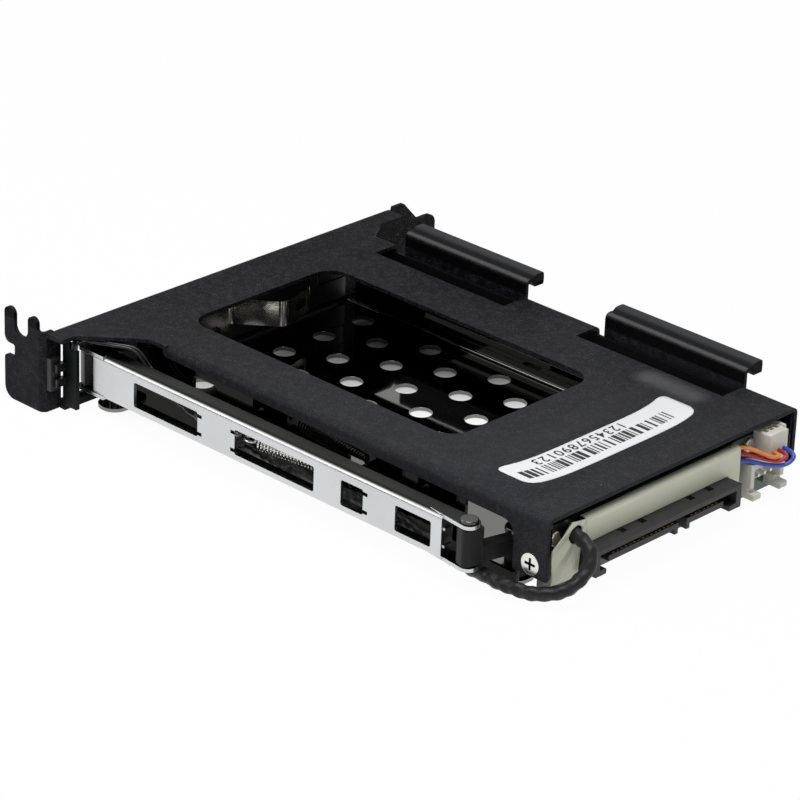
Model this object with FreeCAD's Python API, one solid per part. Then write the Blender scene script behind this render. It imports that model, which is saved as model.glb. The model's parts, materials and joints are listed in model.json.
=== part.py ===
"""Trayless hot swap cage for one 2.5-inch drive, fitted in the slot of an expansion card.

Working frame, in millimetres: X runs into the computer from the slot bracket's outer face,
Y runs along the bracket from its ear to its tongue, and Z is up from the bracket's lower edge.
Every solid is moved to the row frame (centre of the box's bottom) as it is written.
"""
import FreeCAD, Part
import math
import os

V = FreeCAD.Vector
os.makedirs("parts", exist_ok=True)

# ---------------------------------------------------------------- driving dimensions
# slot bracket, to the expansion card standard
BRACKET_LENGTH = 120.02
BRACKET_WIDTH = 18.42
EAR_DEPTH = 11.43
EAR_RISE = 2.8
TONGUE_LOW = 3.2
TONGUE_WIDTH = 10.2
SHOULDER_START = 109.3
SHOULDER_END = 114.0

# sheet
COVER_SHEET = 0.9
CAGE_SHEET = 0.8
BEND = 0.6

# cover
COVER_DEPTH = 130.2
COVER_NEAR = 15.2
COVER_FAR = 91.6
NEAR_FLANGE = 3.6
NEAR_FLANGE_FRONT = 2.5
FAR_FLANGE = 12.4
LEG_WIDTH = 8.7
LEG_FOOT = 5.0
LIP_DEPTH = 2.7
WINDOW = (15.8, 92.8, 27.9, 70.8)
WINDOW_CORNER = 5.0
NOTCH_DEPTH = 7.8
NOTCHES = ((16.6, 19.2, 55.5), (76.3, 78.3, 116.6))
TAB_RISE = 3.83
TAB_LIP = 4.8
TAB_JOGGLE = 1.3

# door opening in the bracket, and the door
OPENING_NEAR = 5.0
OPENING_FAR = 89.4
OPENING_LOW = 1.6
OPENING_HIGH = 16.9
DOOR_GAP = 0.4
DOOR_THICK = 2.4
DOOR_FACE = 0.2
HINGE_X = 8.0
HINGE_Y = 14.0
HINGE_PIN_R = 1.25
RUNNING = 0.05
CRANK_R = 4.0
CRANK_PIN_R = 0.9
CRANK_START = 225.0
DOOR_SWING = 90.0
KNUCKLE_R = 7.3
KNUCKLE_END = 256.0

# cage tray
CAGE_FRONT = 2.8
WALL_FRONT = 12.6
RIB_HEIGHT = 1.1
HOLE_R = 2.55
HOLE_STEP_X = 10.4
HOLE_STEP_Y = 12.35
HOLE_FIRST_X = 13.7
HOLE_LAST_Y = 83.7
HOLE_COLUMNS = 6
HOLE_ROWS = 5

# channel link that carries the door's motion to the ejector
LINK_NEAR = 6.8
LINK_SHEET = 0.8
LINK_DEEP = 4.0
LINK_LOW = 5.0
LINK_TALL = 10.0
LINK_FRONT = 9.2
LINK_WINDOWS = ((21.8, 41.2), (52.2, 75.1), (82.7, 88.9), (97.7, 107.4))
WINDOW_LOW = 6.9
WINDOW_HIGH = 12.5
SLOT_PLAY = 0.25

# ejector lever
LEVER_TO_LEG = 3.07
LEVER_Y = 19.85
LEVER_OFFSET = 2.83
LINK_TO_RIVET = 5.4
LEVER_PIN_Y = 8.8
LEVER_PIN_R = 1.1
LEVER_REACH = 14.0
LEVER_THICK = 3.4
LEVER_PIVOT_R = 1.5

# return spring
SPRING_R = 1.7
SPRING_WIRE = 0.5
SPRING_LINK = V(52.9, 9.3, 10.2)
SPRING_ANCHOR = V(80.6, 13.2, 10.2)

# backplane and connectors
BOARD_INSET = 3.8
BOARD_THICK = 1.6
BOARD_LOW = 1.2
BOARD_TOP = 15.2
SOCKET_DEEP = 7.0
SOCKET_NEAR = 37.2
PLUG_NEAR = 25.7
PLUG_LONG = 44.5
PLUG_DEEP = 5.8
PLUG_TOP = 9.3
PLUG_LOW = 3.6
POWER_PIN_COUNT = 15
SIGNAL_PIN_COUNT = 7
PIN_STEP = 1.27
INSULATOR_SHEET = 0.4
INSULATOR_INSET = 0.3

# cable sleeve and wires
SLEEVE_R = 1.85
LAMP_WIRE_R = 0.4
WIRE_R = 0.45

# ---------------------------------------------------------------- worked-out places
TOP = BRACKET_WIDTH
UNDER = TOP - COVER_SHEET
WALL_OUT_NEAR = COVER_NEAR + COVER_SHEET
WALL_OUT_FAR = COVER_FAR - COVER_SHEET
WALL_IN_NEAR = WALL_OUT_NEAR + CAGE_SHEET
WALL_IN_FAR = WALL_OUT_FAR - CAGE_SHEET
WALL_TOP = UNDER - BEND
LINK_TOP = LINK_LOW + LINK_TALL
EAR_HALF = 3.5
TAB_TOP = TOP + TAB_RISE
CRANK_X = HINGE_X + CRANK_R * math.cos(math.radians(CRANK_START))
CRANK_Y = HINGE_Y + CRANK_R * math.sin(math.radians(CRANK_START))
LEG_LEFT = COVER_DEPTH - LEG_WIDTH
CAGE_FLOOR_END = LEG_LEFT - 3.5
LEVER_X = LEG_LEFT - LEVER_TO_LEG
LEVER_PIN_X = LEVER_X - LEVER_OFFSET
LINK_REAR = LEVER_PIN_X - LINK_TO_RIVET
BOARD_FACE = COVER_DEPTH - BOARD_INSET
INSULATOR_FACE = COVER_DEPTH - INSULATOR_INSET
LEG_SCREW = V(LEG_LEFT + 4.5, COVER_NEAR, 7.5)
LEG_SCREW_LONG = 3.0
BOARD_BACK = BOARD_FACE + BOARD_THICK
SLEEVE_END = V(BOARD_BACK, 23.9, 12.4)
PLUG_FAR = PLUG_NEAR + PLUG_LONG
WELD = 0.05


# ---------------------------------------------------------------- shape helpers
def at_z(z):
    """Plan view at height z: (u, v) is (X, Y)."""
    return lambda u, v: V(u, v, z)


def at_y(y):
    """Side view at y: (u, v) is (X, Z)."""
    return lambda u, v: V(u, y, v)


def at_x(x):
    """End view at x: (u, v) is (Y, Z)."""
    return lambda u, v: V(x, u, v)


def outline(points, place):
    """A closed face from corners (u, v) or (u, v, radius), each rounded by a tangent arc."""
    corners = [(p[0], p[1], p[2] if len(p) > 2 else 0.0) for p in points]
    count = len(corners)
    starts = []
    ends = []
    middles = []
    for i, (u, v, radius) in enumerate(corners):
        before = corners[i - 1]
        after = corners[(i + 1) % count]
        a = math.atan2(before[1] - v, before[0] - u)
        b = math.atan2(after[1] - v, after[0] - u)
        half = abs((b - a + math.pi) % (2 * math.pi) - math.pi) / 2
        if radius <= 0 or half > math.pi / 2 - 0.001:
            starts.append(place(u, v))
            ends.append(place(u, v))
            middles.append(None)
            continue
        reach = radius / math.tan(half)
        starts.append(place(u + reach * math.cos(a), v + reach * math.sin(a)))
        ends.append(place(u + reach * math.cos(b), v + reach * math.sin(b)))
        bisect_u = math.cos(a) + math.cos(b)
        bisect_v = math.sin(a) + math.sin(b)
        size = math.hypot(bisect_u, bisect_v)
        inset = radius / math.sin(half) - radius
        middles.append(place(u + bisect_u / size * inset, v + bisect_v / size * inset))
    edges = []
    for i in range(count):
        if middles[i]:
            edges.append(Part.Arc(starts[i], middles[i], ends[i]).toShape())
        following = starts[(i + 1) % count]
        if (following - ends[i]).Length > 1e-6:
            edges.append(Part.LineSegment(ends[i], following).toShape())
    return Part.Face(Part.Wire(edges))


def plate(points, place, along):
    """A flat plate: the outline carried along a vector."""
    return outline(points, place).extrude(along)


def rectangle(u0, u1, v0, v1, radius=0.0):
    return [(u0, v0, radius), (u1, v0, radius), (u1, v1, radius), (u0, v1, radius)]


def box(x0, x1, y0, y1, z0, z1):
    return Part.makeBox(x1 - x0, y1 - y0, z1 - z0, V(x0, y0, z0))


def rod(radius, start, along):
    return Part.makeCylinder(radius, along.Length, start, along)


def folded(path, sheet, bend, place, along):
    """Bent sheet: the path is one skin, the sheet lies on its left, and corners are bent."""
    count = len(path)
    directions = []
    for i in range(count - 1):
        du = path[i + 1][0] - path[i][0]
        dv = path[i + 1][1] - path[i][1]
        size = math.hypot(du, dv)
        directions.append((du / size, dv / size))
    skin = []
    inside = []
    for i, (u, v) in enumerate(path):
        before = directions[max(i - 1, 0)]
        after = directions[min(i, count - 2)]
        turn = before[0] * after[1] - before[1] * after[0]
        along_dot = before[0] * after[0] + before[1] * after[1]
        stretch = sheet / (1 + along_dot)
        offset_u = -(before[1] + after[1]) * stretch
        offset_v = (before[0] + after[0]) * stretch
        outer = bend + sheet if turn > 1e-6 else (bend if turn < -1e-6 else 0.0)
        inner = bend if turn > 1e-6 else (bend + sheet if turn < -1e-6 else 0.0)
        skin.append((u, v, outer))
        inside.append((u + offset_u, v + offset_v, inner))
    return plate(skin + inside[::-1], place, along)


def joined(shapes):
    return shapes[0].fuse(shapes[1:]).removeSplitter()


def cut(shape, tools):
    return shape.cut(Part.makeCompound(tools))


def tube(points, radius, name):
    """A round cord along straight runs joined by tangent arcs; prints its radii and length."""
    corners = [V(*p) for p in points]
    edges = []
    radii = []
    last = corners[0]
    for i in range(1, len(corners) - 1):
        before = corners[i - 1] - corners[i]
        after = corners[i + 1] - corners[i]
        half_turn = (math.pi - before.getAngle(after)) / 2
        reach = 0.45 * min(before.Length, after.Length)
        bend = reach / math.tan(half_turn)
        radii.append(round(bend, 1))
        before.normalize()
        after.normalize()
        start = corners[i] + before * reach
        end = corners[i] + after * reach
        bisector = before + after
        bisector.normalize()
        middle = corners[i] + bisector * (bend / math.cos(half_turn) - bend)
        edges.append(Part.LineSegment(last, start).toShape())
        edges.append(Part.Arc(start, middle, end).toShape())
        last = end
    edges.append(Part.LineSegment(last, corners[-1]).toShape())
    path = Part.Wire(edges)
    heading = corners[1] - corners[0]
    circle = Part.Wire([Part.makeCircle(radius, corners[0], heading)])
    solid = path.makePipeShell([circle], True, False)
    length = path.Length
    share = solid.Volume / (math.pi * radius * radius * length)
    print(name, "radii", radii, "length", round(length, 1), "volume share", round(share, 3))
    return solid


def write_all(nodes):
    """Moves every node to the row frame, the centre of the box's bottom, and writes it."""
    box_of_all = Part.makeCompound([s for shapes in nodes.values() for s in shapes])
    extent = box_of_all.optimalBoundingBox()
    middle = V(extent.Center.x, extent.Center.y, extent.ZMin)
    print("row origin", round(middle.x, 4), round(middle.y, 4), round(middle.z, 4))
    for name, shapes in nodes.items():
        solids = [solid for shape in shapes for solid in shape.Solids]
        for solid in solids:
            if not solid.isValid():
                print("invalid solid in", name)
        node = Part.makeCompound([solid.translated(-middle) for solid in solids])
        node.exportStep("parts/" + name + ".step")


# ---------------------------------------------------------------- cover with its slot bracket
def slot_ear():
    """The bracket's screw ear: bent off the face, with a screw notch and a side notch."""
    top = TOP + EAR_RISE
    bent = folded([(-EAR_DEPTH, 0), (COVER_SHEET, 0), (COVER_SHEET, 3.0)],
                  COVER_SHEET, BEND, at_z(0), V(0, 0, top))
    side = -EAR_DEPTH
    notch_left = -8.3
    notch_right = -3.9
    notch_foot = 15.5
    prong_right = -1.0
    shape = [(side, 0, 2.8), (6, 0), (6, TOP), (prong_right, TOP, 0.5),
             (prong_right, top, 1.4), (notch_right, top, 1.4), (notch_right, notch_foot, 2.1),
             (notch_left, notch_foot, 2.1), (notch_left, top, 1.5), (side, top, 1.5),
             (side, 12.9, 1.7), (-8.2, 12.9, 0.5), (-8.2, 10.0, 1.2), (side, 10.0, 0.9)]
    return bent.common(plate(shape, at_y(-1), V(0, 6, 0)))


def bracket_face():
    """The face, with a bottom lip behind it, shoulders and the tongue, and the door opening."""
    face = plate([(0.9, 0), (SHOULDER_START, 0, 1.5), (SHOULDER_END, TONGUE_LOW, 1.5),
                  (BRACKET_LENGTH, TONGUE_LOW, 2.5),
                  (BRACKET_LENGTH, TONGUE_LOW + TONGUE_WIDTH, 2.5),
                  (SHOULDER_END, TONGUE_LOW + TONGUE_WIDTH, 1.5),
                  (SHOULDER_START, TOP, 1.0), (106.0, TOP), (105.1, TOP - 2.6, 0.6),
                  (104.0, TOP - 2.6, 0.4), (0.9, TOP - 2.6)],
                 at_x(0), V(COVER_SHEET, 0, 0))
    upper = folded([(6.0, TOP), (0, TOP), (0, TOP - 4.0)], COVER_SHEET, BEND,
                   at_y(0.9), V(0, 103.1, 0))
    lip = folded([(0, 3.0), (0, 0), (LIP_DEPTH, 0)], COVER_SHEET, BEND, at_y(4.5),
                 V(0, 100.6, 0))
    corner = box(-1, COVER_SHEET + 1, 4.5, 105.1, -1, 1.5)
    return joined([cut(face, [corner]), upper, lip])


def cover_body():
    """Top plate with its two side flanges, and the leg that takes the side screw."""
    hood = folded([(COVER_FAR, TOP - FAR_FLANGE), (COVER_FAR, TOP), (COVER_NEAR, TOP),
                   (COVER_NEAR, LEG_FOOT)],
                  COVER_SHEET, BEND, at_x(3.0), V(COVER_DEPTH - 3.0, 0, 0))
    near_cut = plate([(0, 0), (LEG_LEFT, 0), (LEG_LEFT, TOP - NEAR_FLANGE, 3.0),
                      (21.5, TOP - NEAR_FLANGE_FRONT, 1.0), (21.5, TOP - 0.4), (0, TOP - 0.4)],
                     at_y(COVER_NEAR - 1), V(0, COVER_SHEET + 1.6, 0))
    front = plate([(2.0, 0.95), (17.65, COVER_NEAR, 4.0), (22.5, COVER_NEAR + 0.02),
                   (22.5, COVER_FAR - 2.0), (9.4, COVER_FAR - 2.0), (8.9, COVER_FAR),
                   (2.0, 102.9)], at_z(UNDER), V(0, 0, COVER_SHEET))
    far_front_cut = box(0, 8.9, COVER_FAR - 2.0, COVER_FAR + 1, 0, UNDER)
    near_front_cut = box(0, 17.65, COVER_NEAR - 1, COVER_NEAR + 1.6, 0, TOP + 1)
    hood = cut(hood, [near_cut, far_front_cut, near_front_cut])
    return joined([hood, front])


def edge_tab(start, wall_start, end):
    """One hook tab that stands up out of the top plate and folds outward."""
    inner = COVER_FAR - COVER_SHEET
    step = TAB_TOP - TAB_JOGGLE
    return folded([(inner + COVER_SHEET + TAB_LIP, step), (inner + 3.2, step),
                   (inner + 2.2, TAB_TOP), (inner, TAB_TOP), (inner, TOP - FAR_FLANGE + 2.0)],
                  COVER_SHEET, BEND * 0.6, at_x(wall_start), V(end - wall_start, 0, 0))


def bracket_cover():
    body = joined([cover_body(), bracket_face(), slot_ear()])
    openings = [plate(rectangle(*WINDOW, WINDOW_CORNER), at_z(UNDER - 1), V(0, 0, 3)),
                box(-2, COVER_SHEET + 2.0, OPENING_NEAR, OPENING_FAR, OPENING_LOW,
                    OPENING_HIGH)]
    for start, wall_start, end in NOTCHES:
        openings.append(box(start, end, COVER_FAR - NOTCH_DEPTH, COVER_FAR + 1,
                            UNDER - 1, TOP + 1))
        openings.append(box(start, wall_start, WALL_OUT_FAR - 0.5, COVER_FAR + 1, 13.0, TOP))
    for z in LED_HEIGHTS:
        openings.append(rod(LIGHT_PIPE_R + RUNNING, V(-1, LED_Y, z), V(4, 0, 0)))
    openings.append(Part.makeCone(2.4, 1.3, 1.1, LEG_SCREW - V(0, 0.1, 0), V(0, 1, 0)))
    tabs = [edge_tab(*notch) for notch in NOTCHES]
    return joined([cut(body, openings)] + tabs)


LED_HEIGHTS = (7.2, 10.6)
LED_Y = 2.5
LIGHT_PIPE_R = 0.8


# ---------------------------------------------------------------- cage tray
def hinge_ear(z):
    """A lug that stands out of the tray and holds one end of the door's hinge pin."""
    lug = plate([(HINGE_X - EAR_HALF, HINGE_Y - EAR_HALF, 3.2),
                 (HINGE_X + EAR_HALF, HINGE_Y - EAR_HALF, 3.2),
                 (HINGE_X + EAR_HALF, WALL_OUT_NEAR - 0.6, 0.4),
                 (WALL_FRONT + 4.0, WALL_OUT_NEAR - 0.6), (WALL_FRONT + 4.0, WALL_IN_NEAR + 1),
                 (HINGE_X - EAR_HALF, WALL_IN_NEAR + 1, 0.5)],
                at_z(z), V(0, 0, CAGE_SHEET))
    hole = rod(HINGE_PIN_R + RUNNING, V(HINGE_X, HINGE_Y, z - 1), V(0, 0, 3))
    return cut(lug, [hole])


def guide_rib(y, inward, z, start, end):
    """A shallow rib pressed into a side wall, which guides the drive."""
    return plate([(y, z - 1.4), (y + inward * RIB_HEIGHT, z - 0.6, 0.3),
                  (y + inward * RIB_HEIGHT, z + 0.6, 0.3), (y, z + 1.4)],
                 at_x(start), V(end - start, 0, 0))


def floor_holes():
    """Staggered vent holes in the floor."""
    holes = []
    for column in range(HOLE_COLUMNS):
        shift = HOLE_STEP_Y / 2 if column % 2 else 0.0
        for row in range(HOLE_ROWS):
            x = HOLE_FIRST_X + column * HOLE_STEP_X
            y = HOLE_LAST_Y - shift - row * HOLE_STEP_Y
            holes.append(rod(HOLE_R, V(x, y, -1), V(0, 0, 3)))
    return holes


def cage_tray():
    """Folded tray: floor, two side walls with guide ribs, hinge lugs, spring tab, board lugs."""
    tray = folded([(WALL_OUT_NEAR, WALL_TOP), (WALL_OUT_NEAR, 0), (WALL_OUT_FAR, 0),
                   (WALL_OUT_FAR, WALL_TOP)], CAGE_SHEET, BEND, at_x(CAGE_FRONT),
                  V(INSULATOR_FACE - CAGE_FRONT, 0, 0))
    front_post = box(0, WALL_FRONT, WALL_OUT_NEAR - 1, WALL_IN_NEAR + 0.7, CAGE_SHEET,
                     WALL_TOP + 1)
    floor_end = box(CAGE_FLOOR_END, COVER_DEPTH + 10, WALL_IN_NEAR, WALL_IN_FAR, -1, CAGE_SHEET + 0.7)
    far_front = box(0, 5.0, WALL_IN_FAR - 1, WALL_OUT_FAR + 1, CAGE_SHEET + 0.7, WALL_TOP + 1)
    rear_notch = box(LEG_LEFT + 0.5, COVER_DEPTH + 10, WALL_OUT_FAR - 20, WALL_OUT_FAR + 1, -1,
                     TOP - FAR_FLANGE)
    rear_foot = box(LEG_LEFT + 0.5, COVER_DEPTH + 10, WALL_OUT_NEAR - 1, WALL_IN_NEAR + 20, -1,
                    LEG_FOOT)
    slots = [plate(rectangle(LINK_REAR - 2.4, LEG_LEFT + 0.3, 3.4, 14.6, 1.0),
                   at_y(WALL_OUT_NEAR - 1), V(0, 3, 0)),
             plate(rectangle(30.0, 37.0, 6.0, 14.0, 0.8), at_y(WALL_OUT_NEAR - 1), V(0, 3, 0)),
             plate(rectangle(SPRING_ANCHOR.x - 5.0, SPRING_ANCHOR.x - 0.4, 8.0, 12.4, 0.5),
                   at_y(WALL_OUT_NEAR - 1), V(0, 3, 0)),
             rod(1.3, LEG_SCREW - V(0, 1, 0), V(0, 6, 0)),
             rod(LEVER_PIVOT_R, V(LEVER_X, LEVER_Y, -1), V(0, 0, 4))]
    tray = cut(tray, [front_post, floor_end, far_front, rear_notch, rear_foot] + slots + floor_holes())
    tongue = plate([(CAGE_FLOOR_END - 4, LEVER_Y - 2.4), (LEVER_X + 3.2, LEVER_Y - 2.4, 2.0),
                    (LEVER_X + 3.2, LEVER_Y + 3.2, 2.0), (CAGE_FLOOR_END - 4, LEVER_Y + 3.2)],
                   at_z(0), V(0, 0, CAGE_SHEET))
    tongue = cut(tongue, [rod(LEVER_PIVOT_R, V(LEVER_X, LEVER_Y, -1), V(0, 0, 4))])
    ribs = [guide_rib(WALL_IN_NEAR - WELD, 1, 4.2, 24.0, 104.0),
            guide_rib(WALL_IN_FAR + WELD, -1, 4.2, 14.0, 108.0),
            guide_rib(WALL_IN_FAR + WELD, -1, 12.6, 20.0, 108.0)]
    tab_low = V(SPRING_ANCHOR.x - 0.4, SPRING_ANCHOR.y - 1.5, 8.4)
    spring_tab = box(tab_low.x, tab_low.x + CAGE_SHEET, tab_low.y, WALL_IN_NEAR, 8.4, 12.0)
    spring_tab = cut(spring_tab, [rod(0.7, SPRING_ANCHOR - V(2, 0, 0), V(4, 0, 0))])
    lug_top = BOARD_TOP - 0.4
    near_lug = box(BOARD_FACE - CAGE_SHEET, BOARD_FACE, WALL_IN_NEAR - WELD, 22.0, 10.8, lug_top)
    far_lug = box(BOARD_FACE - CAGE_SHEET, BOARD_FACE, 75.0, WALL_IN_FAR + WELD, 11.6, lug_top)
    near_lug = cut(near_lug, [rod(BOARD_SCREW_R, V(BOARD_FACE - 6, *BOARD_SCREWS[0]), V(10, 0, 0))])
    far_lug = cut(far_lug, [rod(BOARD_SCREW_R, V(BOARD_FACE - 6, *BOARD_SCREWS[1]), V(10, 0, 0))])
    ears = [hinge_ear(0), hinge_ear(WALL_TOP - CAGE_SHEET)]
    return joined([tray, tongue, spring_tab, near_lug, far_lug] + ears + ribs)


BOARD_SCREW_R = 1.0
BOARD_SCREWS = ((19.3, 12.6), (78.4, 13.2))


# ---------------------------------------------------------------- door and what it carries
def door_panel():
    """Moulded door: a hollow-backed panel, its hinge knuckle and the crank sector."""
    low = OPENING_LOW + DOOR_GAP
    high = OPENING_HIGH - DOOR_GAP
    near = HINGE_Y - 0.8
    far = OPENING_FAR - DOOR_GAP
    panel = plate([(DOOR_FACE, near), (DOOR_FACE, far, 0.8), (DOOR_FACE + DOOR_THICK, far),
                   (DOOR_FACE + DOOR_THICK, near)][::-1], at_z(low), V(0, 0, high - low))
    grip = plate([(low + 3.0, -1), (low + 3.0, 1.1, 0.5), (high - 3.0, 1.1, 0.5),
                  (high - 3.0, -1)], lambda u, v: V(v, far - 22.0, u), V(0, 14.0, 0))
    catch_slot = box(DOOR_FACE + 1.2, DOOR_FACE + DOOR_THICK + 1, far - 9.0, far + 1,
                     CATCH_LOW - 0.3, CATCH_HIGH + 0.3)
    catch_window = box(DOOR_FACE - 1, DOOR_FACE + 2, far - 7.4, far - 2.2,
                       CATCH_LOW + 0.7, CATCH_HIGH - 0.7)
    low_knuckle = LINK_LOW + LINK_SHEET + 0.4
    high_knuckle = LINK_TOP - LINK_SHEET - 0.4
    end = math.radians(KNUCKLE_END)
    middle = math.radians((KNUCKLE_END + 180) / 2)
    centre = V(HINGE_X, HINGE_Y, low_knuckle)
    first = centre + V(-KNUCKLE_R, 0, 0)
    halfway = centre + V(KNUCKLE_R * math.cos(middle), KNUCKLE_R * math.sin(middle), 0)
    last = centre + V(KNUCKLE_R * math.cos(end), KNUCKLE_R * math.sin(end), 0)
    sector = Part.Face(Part.Wire([Part.LineSegment(centre, first).toShape(),
                                  Part.Arc(first, halfway, last).toShape(),
                                  Part.LineSegment(last, centre).toShape()]))
    tall = high_knuckle - low_knuckle
    sector = sector.extrude(V(0, 0, tall))
    boss = rod(2.6, centre, V(0, 0, tall))
    web = box(DOOR_FACE + 1, HINGE_X, HINGE_Y - 0.5, HINGE_Y + 2.0, low_knuckle, high_knuckle)
    rib = box(DOOR_FACE + DOOR_THICK - WELD, DOOR_FACE + DOOR_THICK + 1.4, 20.0, far - 12.0,
              high - 1.2, high)
    bores = [rod(HINGE_PIN_R + RUNNING, V(HINGE_X, HINGE_Y, -1), V(0, 0, 20)),
             rod(CRANK_PIN_R, V(CRANK_X, CRANK_Y, -1), V(0, 0, 20))]
    body = joined([panel, sector, boss, web, rib])
    return cut(body, [grip, catch_slot, catch_window] + bores)


CATCH_LOW = 7.0
CATCH_HIGH = 11.6
CATCH_THROW = 1.6


def door_catch():
    """Sliding catch in the door's free end, drawn back: a thumb pad on a flat bolt."""
    far = OPENING_FAR - DOOR_GAP
    back = DOOR_FACE + DOOR_THICK
    bolt = plate([(far - 8.7, CATCH_LOW), (far - 0.2, CATCH_LOW, 0.8),
                  (far - 0.2, CATCH_HIGH, 0.8), (far - 8.7, CATCH_HIGH)],
                 at_x(DOOR_FACE + 1.3), V(back - DOOR_FACE - 1.4, 0, 0))
    pad = box(DOOR_FACE + 0.1, DOOR_FACE + 1.4, far - 7.2, far - 4.2, CATCH_LOW + 0.9,
              CATCH_HIGH - 0.9)
    grooves = [box(DOOR_FACE, DOOR_FACE + 0.5, far - 6.9 + i, far - 6.5 + i, CATCH_LOW,
                   CATCH_HIGH) for i in range(3)]
    return joined([bolt, cut(pad, grooves)])


def door_leaf_spring():
    """Steel leaf on the door's inner side, bowed towards the drive, with a curled end."""
    skin = DOOR_FACE + DOOR_THICK
    low = OPENING_LOW + DOOR_GAP + 1.0
    tall = 12.2
    base = plate(rectangle(34.0, 52.0, low, low + tall, 1.5), at_x(skin), V(0.5, 0, 0))
    bow = folded([(6.2, 73.6), (9.4, 70.0), (12.0, 60.5), (skin, 52.5), (skin, 50.0)], 0.5,
                 2.0, at_z(low + 3.0), V(0, 0, 6.0))
    slot = box(6.0, 15.0, 64.5, 69.0, low + 5.0, low + 7.0)
    holes = [rod(LEAF_RIVET_R, V(skin - 1, y, low + z), V(4, 0, 0)) for y, z in LEAF_RIVETS]
    return cut(joined([base, bow]), [slot] + holes)


LEAF_RIVET_R = 0.9
LEAF_RIVETS = ((37.0, 6.1), (48.0, 2.0), (48.0, 10.2))


def leaf_rivets():
    """Domed rivets that hold the leaf on the door."""
    skin = DOOR_FACE + DOOR_THICK
    low = OPENING_LOW + DOOR_GAP + 1.0
    rivets = []
    for y, z in LEAF_RIVETS:
        shank = rod(LEAF_RIVET_R, V(skin, y, low + z), V(0.5, 0, 0))
        head = rod(1.5, V(skin + 0.5, y, low + z), V(0.5, 0, 0))
        head = head.makeFillet(0.3, [head.Edges[0]])
        rivets.append(joined([shank, head]))
    return rivets


def crank_pin():
    return rod(CRANK_PIN_R, V(CRANK_X, CRANK_Y, LINK_LOW - 0.5), V(0, 0, LINK_TALL + 1.0))


def hinge_pin():
    """Door hinge pin with a flat head under the upper lug's skin."""
    return rod(HINGE_PIN_R, V(HINGE_X, HINGE_Y, 0.0), V(0, 0, WALL_TOP))


# ---------------------------------------------------------------- channel link
def link_leaf(z):
    """Fork leaf at the link's front, with the open cross slot for the crank pin."""
    front = CRANK_X - 1.6
    low_y = HINGE_Y - CRANK_R - CRANK_PIN_R - SLOT_PLAY
    high_y = CRANK_Y + CRANK_PIN_R + SLOT_PLAY
    half = CRANK_PIN_R + SLOT_PLAY
    leaf = plate([(front, LINK_NEAR, 1.4), (LINK_FRONT + 3.0, LINK_NEAR),
                  (LINK_FRONT + 3.0, LINK_NEAR + LINK_DEEP), (LINK_FRONT, LINK_NEAR + LINK_DEEP),
                  (LINK_FRONT - 1.0, high_y, 0.8), (front, high_y, 0.6)],
                 at_z(z), V(0, 0, LINK_SHEET))
    slot = plate([(CRANK_X - half, low_y, half - 0.01), (CRANK_X + half, low_y, half - 0.01),
                  (CRANK_X + half, high_y + 1), (CRANK_X - half, high_y + 1)],
                 at_z(z - 1), V(0, 0, 3))
    return cut(leaf, [slot])


def link_strap(z):
    """Rounded strap at the link's rear, which takes the lever's rivet."""
    strap = plate([(LINK_REAR - 4.0, LINK_NEAR + 0.9), (LEVER_PIN_X, LINK_NEAR - 0.2, 1.5),
                   (LEVER_PIN_X + 2.2, LINK_NEAR - 0.2, 1.9),
                   (LEVER_PIN_X + 2.2, LEVER_PIN_Y + 2.2, 1.9),
                   (LINK_REAR - 4.0, LINK_NEAR + LINK_DEEP)],
                  at_z(z), V(0, 0, LINK_SHEET))
    return cut(strap, [rod(LEVER_PIN_R, V(LEVER_PIN_X, LEVER_PIN_Y, z - 1), V(0, 0, 3))])


def link_tab(x, deep, low, high):
    """A tab bent inward from a window's end."""
    return box(x, x + LINK_SHEET, LINK_NEAR + LINK_SHEET - WELD, LINK_NEAR + LINK_SHEET + deep,
               low, high)


def channel_link():
    """C-section slide bar: four windows, fork leaves in front, an end wall and straps behind."""
    channel = folded([(LINK_NEAR + LINK_DEEP, LINK_TOP), (LINK_NEAR, LINK_TOP),
                      (LINK_NEAR, LINK_LOW), (LINK_NEAR + LINK_DEEP, LINK_LOW)],
                     LINK_SHEET, BEND, at_x(LINK_FRONT), V(LINK_REAR - LINK_FRONT, 0, 0))
    windows = [plate(rectangle(a, b, WINDOW_LOW, WINDOW_HIGH, 0.5), at_y(LINK_NEAR - 1),
                     V(0, 2.2, 0)) for a, b in LINK_WINDOWS]
    relief = [box(x, x + 1.3, LINK_NEAR - 1, LINK_NEAR + 1.2, z, z + 0.8)
              for x in (LINK_WINDOWS[0][1] - WELD, LINK_WINDOWS[1][0] - 1.25,
                        LINK_WINDOWS[2][1] - WELD)
              for z in (WINDOW_LOW + 0.4, WINDOW_HIGH - 1.2)]
    tabs = [link_tab(LINK_WINDOWS[0][1], 2.0, 8.2, 11.2),
            link_tab(LINK_WINDOWS[2][1], 2.0, 8.2, 11.2),
            link_tab(LINK_WINDOWS[1][0] - LINK_SHEET, 2.8, 8.2, 11.6)]
    end_wall = box(LINK_REAR - LINK_SHEET, LINK_REAR, LINK_NEAR + 0.2, LINK_NEAR + 3.2,
                   LINK_LOW + 0.2, LINK_TOP - 0.2)
    end_ribs = [box(LINK_REAR - WELD, LINK_REAR + 0.3, LINK_NEAR + 0.7, LINK_NEAR + 2.9,
                    z, z + 0.6) for z in (7.6, 11.4)]
    hook_hole = rod(0.6, V(LINK_WINDOWS[1][0] - 2, SPRING_LINK.y, SPRING_LINK.z), V(4, 0, 0))
    parts = [cut(channel, windows + relief), link_leaf(LINK_LOW),
             link_leaf(LINK_TOP - LINK_SHEET), link_strap(LINK_LOW),
             link_strap(LINK_TOP - LINK_SHEET), end_wall] + end_ribs + tabs
    return cut(joined(parts), [hook_hole])


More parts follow.
